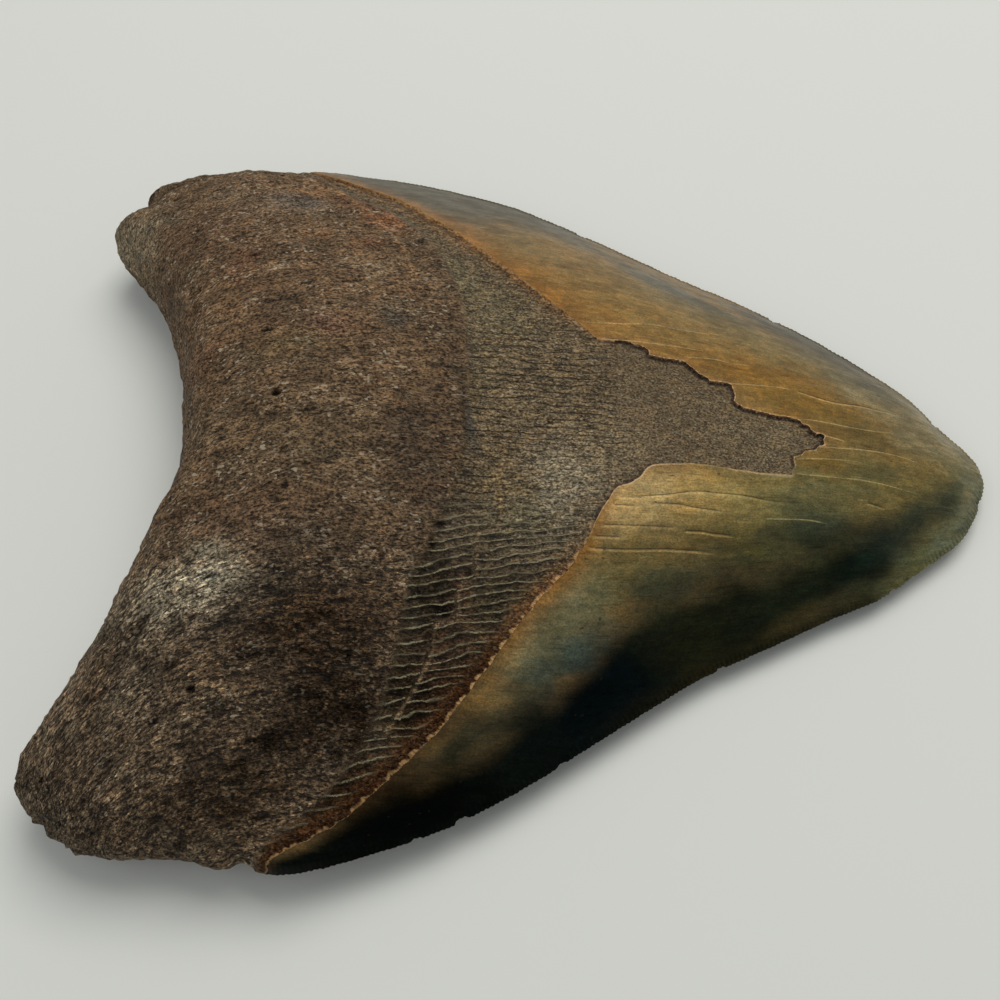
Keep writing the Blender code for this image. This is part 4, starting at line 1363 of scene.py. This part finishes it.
# ---------------------------------------------------------------- material
class Nodes:
    """Short ways to add and wire shader nodes."""

    def __init__(self, tree):
        self.tree = tree

    def add(self, kind, **settings):
        node = self.tree.nodes.new("ShaderNode" + kind)
        for name, value in settings.items():
            setattr(node, name, value)
        return node

    def wire(self, *pairs):
        for value, socket in pairs:
            if isinstance(value, bpy.types.NodeSocket):
                self.tree.links.new(value, socket)
            else:
                socket.default_value = value

    def attribute(self, name, output="Vector"):
        return self.add("Attribute", attribute_name=name).outputs[output]

    def parts(self, vector):
        node = self.add("SeparateXYZ")
        self.wire((vector, node.inputs[0]))
        return node.outputs

    def maths(self, operation, *values):
        node = self.add("Math", operation=operation)
        self.wire(*zip(values, node.inputs))
        return node.outputs[0]

    def minus(self, a, b):
        return self.maths("SUBTRACT", a, b)

    def times(self, product, *others):
        for value in others:
            product = self.maths("MULTIPLY", product, value)
        return product

    def total(self, total, *others):
        for value in others:
            total = self.maths("ADD", total, value)
        return total

    def nudged(self, value, source, amount):
        """The value moved up and down by noise whose middle is 0.5."""
        return self.maths("MULTIPLY_ADD", self.minus(source, 0.5), amount, value)

    def noise(self, vector, rates, detail=2.0, roughness=0.5, distortion=0.0):
        stretched = self.add("VectorMath", operation="MULTIPLY")
        self.wire((vector, stretched.inputs[0]), (rates, stretched.inputs[1]))
        node = self.add("TexNoise")
        self.wire(
            (stretched.outputs[0], node.inputs["Vector"]),
            (1.0, node.inputs["Scale"]),
            (detail, node.inputs["Detail"]),
            (roughness, node.inputs["Roughness"]),
            (distortion, node.inputs["Distortion"]),
        )
        return node.outputs["Fac"]

    def range(self, value, low, high, to_low=0.0, to_high=1.0, smooth=True):
        node = self.add("MapRange", interpolation_type="SMOOTHSTEP" if smooth else "LINEAR")
        self.wire(*zip((value, low, high, to_low, to_high), node.inputs))
        return node.outputs[0]

    def varied(self, noise, to_low, to_high, smooth=True, spread=NOISE_SPREAD):
        """A factor that follows noise between two values."""
        return self.range(noise, *spread, to_low, to_high, smooth)

    def line(self, value, middle, outer, inner):
        """1 where the value is near the middle, 0 where it is further off than outer."""
        return self.range(self.maths("ABSOLUTE", self.minus(value, middle)), outer, inner)

    def mix(self, share, a, b, blend="MIX"):
        node = self.add("Mix", data_type="RGBA", blend_type=blend)
        self.wire((share, node.inputs["Factor"]), (a, node.inputs["A"]), (b, node.inputs["B"]))
        return node.outputs["Result"]

    def tinted(self, share, colour, factors):
        return self.mix(share, colour, (*factors, 1.0), "MULTIPLY")

    def over(self, share, colour, tone):
        return self.mix(share, colour, (*linear(tone), 1.0))

    def brighten(self, colour, factor):
        node = self.add("VectorMath", operation="SCALE")
        self.wire((colour, node.inputs[0]), (factor, node.inputs["Scale"]))
        return node.outputs[0]


def bone_look(n, tint, grain, flow, scaly):
    """Bone: short fibres, fine grain, dark slits, clusters of pale specks, rusty, grey patches."""
    fibres = n.noise(grain, (0.8, 1.8, 1.4), 3.0, 0.62, 0.35)
    fine = n.noise(grain, (2.2, 3.4, 2.8), 1.6, 0.65)
    lumps = n.noise(grain, (1.2, 1.7, 1.4), 3.0, 0.65, 0.4)
    flecks = n.noise(grain, (0.35, 0.85, 0.7), 2.0, 0.6)
    mottle = n.noise(grain, (0.14, 0.26, 0.22), 3.0, 0.6)
    slit_noise = n.noise(grain, (0.5, 2.1, 1.2), 2.0, 0.5, 0.3)
    slits = n.range(n.maths("MULTIPLY_ADD", scaly, -0.06, slit_noise), 0.375, 0.30)
    scales = n.times(n.range(n.noise(grain, (0.9, 2.5, 1.8), 3.0, 0.65, 0.4), 0.50, 0.66), scaly)
    clustered = n.range(n.noise(grain, (0.16, 0.25, 0.2), 1.0, 0.5), 0.46, 0.57)
    specks = n.times(n.range(n.noise(grain, (1.3, 2.2, 1.6), 1.0, 0.4), 0.60, 0.70), clustered)
    bone_light = n.times(
        n.varied(fibres, 0.62, 1.36, False),
        n.varied(fine, 0.26, 1.78, False, WIDE_SPREAD),
        n.mix(scaly, (1.0, 1.0, 1.0, 1.0), n.varied(lumps, 0.5, 1.55, False, (0.40, 0.60))),
        n.varied(flecks, 0.84, 1.16),
        n.varied(mottle, 0.82, 1.18),
    )
    rusty = n.range(n.noise(grain, (0.3, 0.42, 0.35), 3.0, 0.65), 0.54, 0.70, 0.0, 0.35)
    greyish = n.range(n.noise(flow, (0.16, 0.24, 0.2), 2.0, 0.6), 0.52, 0.66, 0.0, 0.8)
    colour = n.tinted(rusty, tint, (1.22, 0.93, 0.72))
    colour = n.tinted(greyish, colour, (0.92, 1.02, 1.10))
    colour = n.tinted(scaly, colour, (0.93, 1.0, 1.08))
    colour = n.brighten(colour, n.times(bone_light, n.range(scales, 0.0, 1.0, 0.95, 2.6)))
    colour = n.over(n.times(slits, 0.75), colour, (22, 17, 13))
    specks = n.times(specks, n.range(n.parts(tint)[1], 0.02, 0.07, 0.2, 0.7))
    colour = n.over(specks, colour, (172, 158, 134))
    height = n.minus(n.total(n.times(fibres, 0.65), n.times(fine, 0.35)), n.times(slits, 0.4))
    height = n.total(height, n.times(scales, 0.5))
    return colour, height, n.range(fine, 0.3, 0.7, 0.85, 0.68)


def neck_look(n, tint, flow, dust, marks, smoothed):
    """Neck: granular ground, dark wavy grooves by the middle, thin pale ribs on the near side, with
    painted light and shade across each rib.
    """
    _, grooved, ribbed = marks
    rib = n.attribute("rib", "Fac")
    grit = n.noise(flow, (1.2, 2.6, 2.0), 3.0, 0.65)
    motes = n.noise(flow, (3.0, 4.0, 3.4), 0.6, 0.5)
    dabs = n.noise(flow, (0.4, 0.75, 0.6), 2.0, 0.6)
    jagged = n.range(n.parts(flow)[0], 12.0, 22.0, 1.0, 0.1)
    grit = n.nudged(0.5, grit, n.maths("MAXIMUM", jagged, 0.3))
    neck_light = n.times(
        n.varied(grit, 0.45, 1.6, False),
        n.varied(dust, 0.36, 1.66, False, WIDE_SPREAD),
        n.varied(dabs, 0.82, 1.18),
    )
    colour = n.tinted(n.range(dabs, 0.45, 0.62), tint, (1.03, 0.99, 0.93))
    colour = n.brighten(colour, neck_light)
    golden = n.tinted(1.0, colour, (1.05, 0.98, 0.86))
    bluish = n.tinted(1.0, colour, (0.97, 1.01, 1.10))
    colour = n.mix(n.range(dust, 0.40, 0.60), golden, bluish)
    pale_motes = n.times(n.range(motes, 0.62, 0.76), n.range(n.parts(tint)[1], 0.02, 0.07, 0.1, 0.4))
    colour = n.over(pale_motes, colour, (168, 162, 144))

    off_crest = n.maths("PINGPONG", rib, 0.5)
    patchy = n.range(n.noise(flow, (0.3, 0.5, 0.4), 2.0, 0.6), 0.38, 0.52, 0.3, 1.0)
    # Pale rib crests: partly painted highlight
    crest = n.times(n.range(n.nudged(off_crest, dust, 0.30), 0.13, 0.03), ribbed, patchy)
    # Painted light by each rib's crest and painted shade on the side before the next crest
    rib_light_and_shade = n.times(n.range(n.maths("FRACT", rib), 0.30, 0.85), ribbed)
    groove = n.times(n.range(off_crest, 0.38, 0.47), grooved, patchy)
    wrinkle = n.noise(flow, (0.30, 1.9, 1.0), 2.0, 0.55, 0.6)
    broken_up = n.range(n.noise(flow, (0.5, 0.6, 0.5), 1.0, 0.5), 0.46, 0.58)
    cracks = n.times(n.line(wrinkle, 0.5, 0.020, 0.004), broken_up)
    cracks = n.times(n.maths("MAXIMUM", cracks, groove), jagged)
    cracks = n.times(cracks, n.range(smoothed, 0.1, 0.8, 1.0, 0.45))
    gloom = n.range(n.noise(flow, (0.42, 0.9, 0.6), 1.0, 0.5), 0.52, 0.62)
    colour = n.brighten(colour, n.range(n.times(gloom, ribbed), 0.0, 1.0, 1.0, 0.5))
    colour = n.brighten(colour, n.range(rib_light_and_shade, 0.0, 1.0, 1.3, 0.6, False))
    colour = n.over(n.times(crest, 0.78), colour, (146, 138, 110))
    colour = n.over(n.times(cracks, 0.7), colour, (22, 19, 14))
    height = n.minus(n.total(n.times(grit, 0.5), n.times(crest, 0.35)), n.times(cracks, 0.4))
    return colour, height, n.range(dust, 0.3, 0.7, 0.66, 0.5)


def enamel_look(n, tint, flow):
    """Enamel: long striations, short pale and dark streaks, soft clouds, dark pores."""
    long_lines = n.noise(flow, (0.05, 1.0, 0.5), 3.0, 0.6)
    fine_lines = n.noise(flow, (0.5, 3.4, 1.2), 3.0, 0.65)
    speckle = n.noise(flow, (3.4, 4.6, 3.8), 2.0, 0.65)
    cloud = n.noise(flow, (0.22, 0.36, 0.3), 4.0, 0.62)
    blotch = n.noise(flow, (0.8, 1.1, 0.9), 3.0, 0.62)
    enamel_light = n.times(
        n.varied(long_lines, 0.92, 1.08, True, WIDE_SPREAD),
        n.varied(fine_lines, 0.92, 1.08, False, WIDE_SPREAD),
        n.varied(blotch, 0.88, 1.12),
        n.varied(speckle, 0.74, 1.28, False, WIDE_SPREAD),
        n.varied(cloud, 0.82, 1.18, True, WIDE_SPREAD),
    )
    golden = n.varied(n.noise(flow, (0.25, 0.50, 0.4), 3.0, 0.6), 0.0, 1.0)
    colour = n.tinted(golden, tint, (1.06, 0.98, 0.86))
    colour = n.brighten(colour, enamel_light)
    streak = n.noise(flow, (0.10, 2.6, 0.8), 1.0, 0.5)
    colour = n.brighten(colour, n.range(streak, 0.64, 0.72, 1.0, 1.25))
    colour = n.brighten(colour, n.range(streak, 0.36, 0.29, 1.0, 0.72))
    colour = n.tinted(n.range(blotch, 0.62, 0.38, 0.0, 0.8), colour, (0.93, 1.02, 1.03))
    pores = n.range(n.noise(flow, (0.9, 1.5, 1.2), 1.0, 0.4), 0.27, 0.21)
    colour = n.over(n.times(pores, 0.6), colour, (30, 26, 18))
    height = n.total(n.times(long_lines, 0.12), n.times(fine_lines, 0.06))
    height = n.minus(height, n.times(pores, 0.05))
    return colour, height, n.range(cloud, 0.3, 0.7, 0.42, 0.32)


def with_margin_lines(n, colour, flow, dust, margin, by_flank, broken):
    """The enamel's edge: a pale crest along the flanks, partly painted highlight; where broken, a cut
    face darkened partly by painted shade, a painted shadow at its foot and a pale lip that is partly
    painted highlight.
    """
    crumbly = n.range(n.noise(flow, (2.2, 3.2, 2.4), 2.0, 0.6), 0.38, 0.60, 0.45, 1.0)
    wiggling = n.nudged(margin, n.noise(flow, (0.55, 0.9, 0.6), 2.0, 0.6), 1.1)
    crest_width = n.varied(n.noise(flow, (0.9, 1.3, 1.0), 1.0, 0.5), 0.13, 0.24)
    # Pale crest line: partly the enamel's pale edge, partly painted highlight
    crest = n.times(n.line(wiggling, 0.05, crest_width, 0.03), by_flank, crumbly)
    colour = n.over(crest, colour, CREST_HIGHLIGHT_TONE)
    frayed = n.nudged(margin, dust, 0.3)
    # Cut face partly darkened by painted shade, painted shadow at its foot, pale lip partly painted
    # highlight
    cut = n.times(n.line(frayed, 0.06, 0.13, 0.07), broken, 0.8)
    foot = n.times(n.line(frayed, -0.10, 0.14, 0.04), broken, crumbly, 0.9)
    lip = n.times(n.line(frayed, 0.26, 0.20, 0.08), broken, crumbly, 0.9)
    for share, tone in ((cut, CUT_FACE_SHADE_TONE), (foot, SHADOW_TONE), (lip, LIP_HIGHLIGHT_TONE)):
        colour = n.over(share, colour, tone)
    return colour


def tooth_material():
    """Bone with fibres and pores, ribbed neck and lined enamel, told apart by the vertex masks."""
    material = bpy.data.materials.new("fossil_tooth")
    material.use_nodes = True
    tree = material.node_tree
    surface = tree.nodes["Principled BSDF"]
    n = Nodes(tree)
    tint = n.attribute("tint", "Color")
    grain = n.attribute("grain")
    flow = n.attribute("flow")
    marks = n.parts(n.attribute("marks"))
    margin, by_flank, shine = n.parts(n.attribute("edge"))
    broken, scaly, smoothed = n.parts(n.attribute("wear"))
    dust = n.noise(flow, (2.7, 3.7, 3.1), 1.4, 0.6)
    bone = bone_look(n, tint, grain, flow, scaly)
    ground = neck_look(n, tint, flow, dust, marks, smoothed)
    glaze = enamel_look(n, tint, flow)
    zones = n.parts(n.attribute("zones"))
    colour = n.mix(zones[1], n.mix(zones[2], bone[0], glaze[0]), ground[0])
    colour = with_margin_lines(n, colour, flow, dust, margin, by_flank, broken)
    # Painted shade in the root's pits, openings and furrows
    colour = n.over(n.times(marks[0], 0.85), colour, SHADOW_TONE)
    height, roughness = (
        n.total(*[n.times(look[k], zone) for look, zone in zip((bone, ground, glaze), zones)])
        for k in (1, 2)
    )
    bump = n.add("Bump")
    n.wire(
        (BUMP_STRENGTH, bump.inputs["Strength"]),
        (BUMP_DEPTH, bump.inputs["Distance"]),
        (height, bump.inputs["Height"]),
        (bump.outputs["Normal"], surface.inputs["Normal"]),
        (colour, surface.inputs["Base Color"]),
        (roughness, surface.inputs["Roughness"]),
        (shine, surface.inputs["Specular IOR Level"]),
    )
    return material


# ---------------------------------------------------------------- studio
def build_floor():
    """A plain pale floor under the tooth."""
    half = FLOOR_SIZE / 2
    corners = [(-half, -half, 0), (half, -half, 0), (half, half, 0), (-half, half, 0)]
    data = bpy.data.meshes.new("floor")
    data.from_pydata(corners, [], [(0, 1, 2, 3)])
    material = bpy.data.materials.new("pale_floor")
    material.use_nodes = True
    surface = material.node_tree.nodes["Principled BSDF"]
    surface.inputs["Base Color"].default_value = (*FLOOR_COLOUR, 1.0)
    surface.inputs["Roughness"].default_value = FLOOR_ROUGHNESS
    surface.inputs["Specular IOR Level"].default_value = FLOOR_SHINE
    data.materials.append(material)
    floor = bpy.data.objects.new("floor", data)
    bpy.context.scene.collection.objects.link(floor)
    return floor


def add_softbox(name, place, size, power, colour):
    """A square area light that faces the tooth."""
    light = bpy.data.lights.new(name, "AREA")
    light.shape = "SQUARE"
    light.size = size
    light.energy = power
    light.color = colour
    lamp = bpy.data.objects.new(name, light)
    lamp.location = place
    lamp.rotation_mode = "QUATERNION"
    lamp.rotation_quaternion = (-Vector(place)).to_track_quat("-Z", "Y")
    bpy.context.scene.collection.objects.link(lamp)


def light_studio():
    """Soft light from above and behind the tooth, with a dim surround."""
    for name, place, size, power, colour in SOFTBOXES:
        add_softbox(name, place, size, power, colour)
    world = bpy.data.worlds.new("surround")
    world.use_nodes = True
    background = world.node_tree.nodes["Background"]
    background.inputs["Color"].default_value = (*SURROUND_COLOUR, 1.0)
    background.inputs["Strength"].default_value = SURROUND_STRENGTH
    scene = bpy.context.scene
    scene.world = world
    scene.view_settings.view_transform = "Standard"


def build_camera():
    """The photograph's view: from the -Y side, looking steeply down."""
    camera = bpy.data.cameras.new("camera")
    camera.sensor_width = CAMERA_SENSOR
    camera.lens = CAMERA_LENS
    camera.clip_start = 0.01
    eye = bpy.data.objects.new("camera", camera)
    middle = Vector((*drawing_middle(), 0.0))
    tilt = Matrix.Rotation(math.radians(90 - CAMERA_DEPRESSION), 4, "X")
    roll = Matrix.Rotation(math.radians(CAMERA_ROLL), 4, "Z")
    eye.matrix_world = Matrix.Translation((Vector(CAMERA_PLACE) - middle) * MM) @ tilt @ roll
    bpy.context.scene.collection.objects.link(eye)
    bpy.context.scene.camera = eye


build_camera()
tooth = build_tooth()
tooth.data.materials.append(tooth_material())
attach(tooth, "root")
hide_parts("tooth")
build_floor()
light_studio()
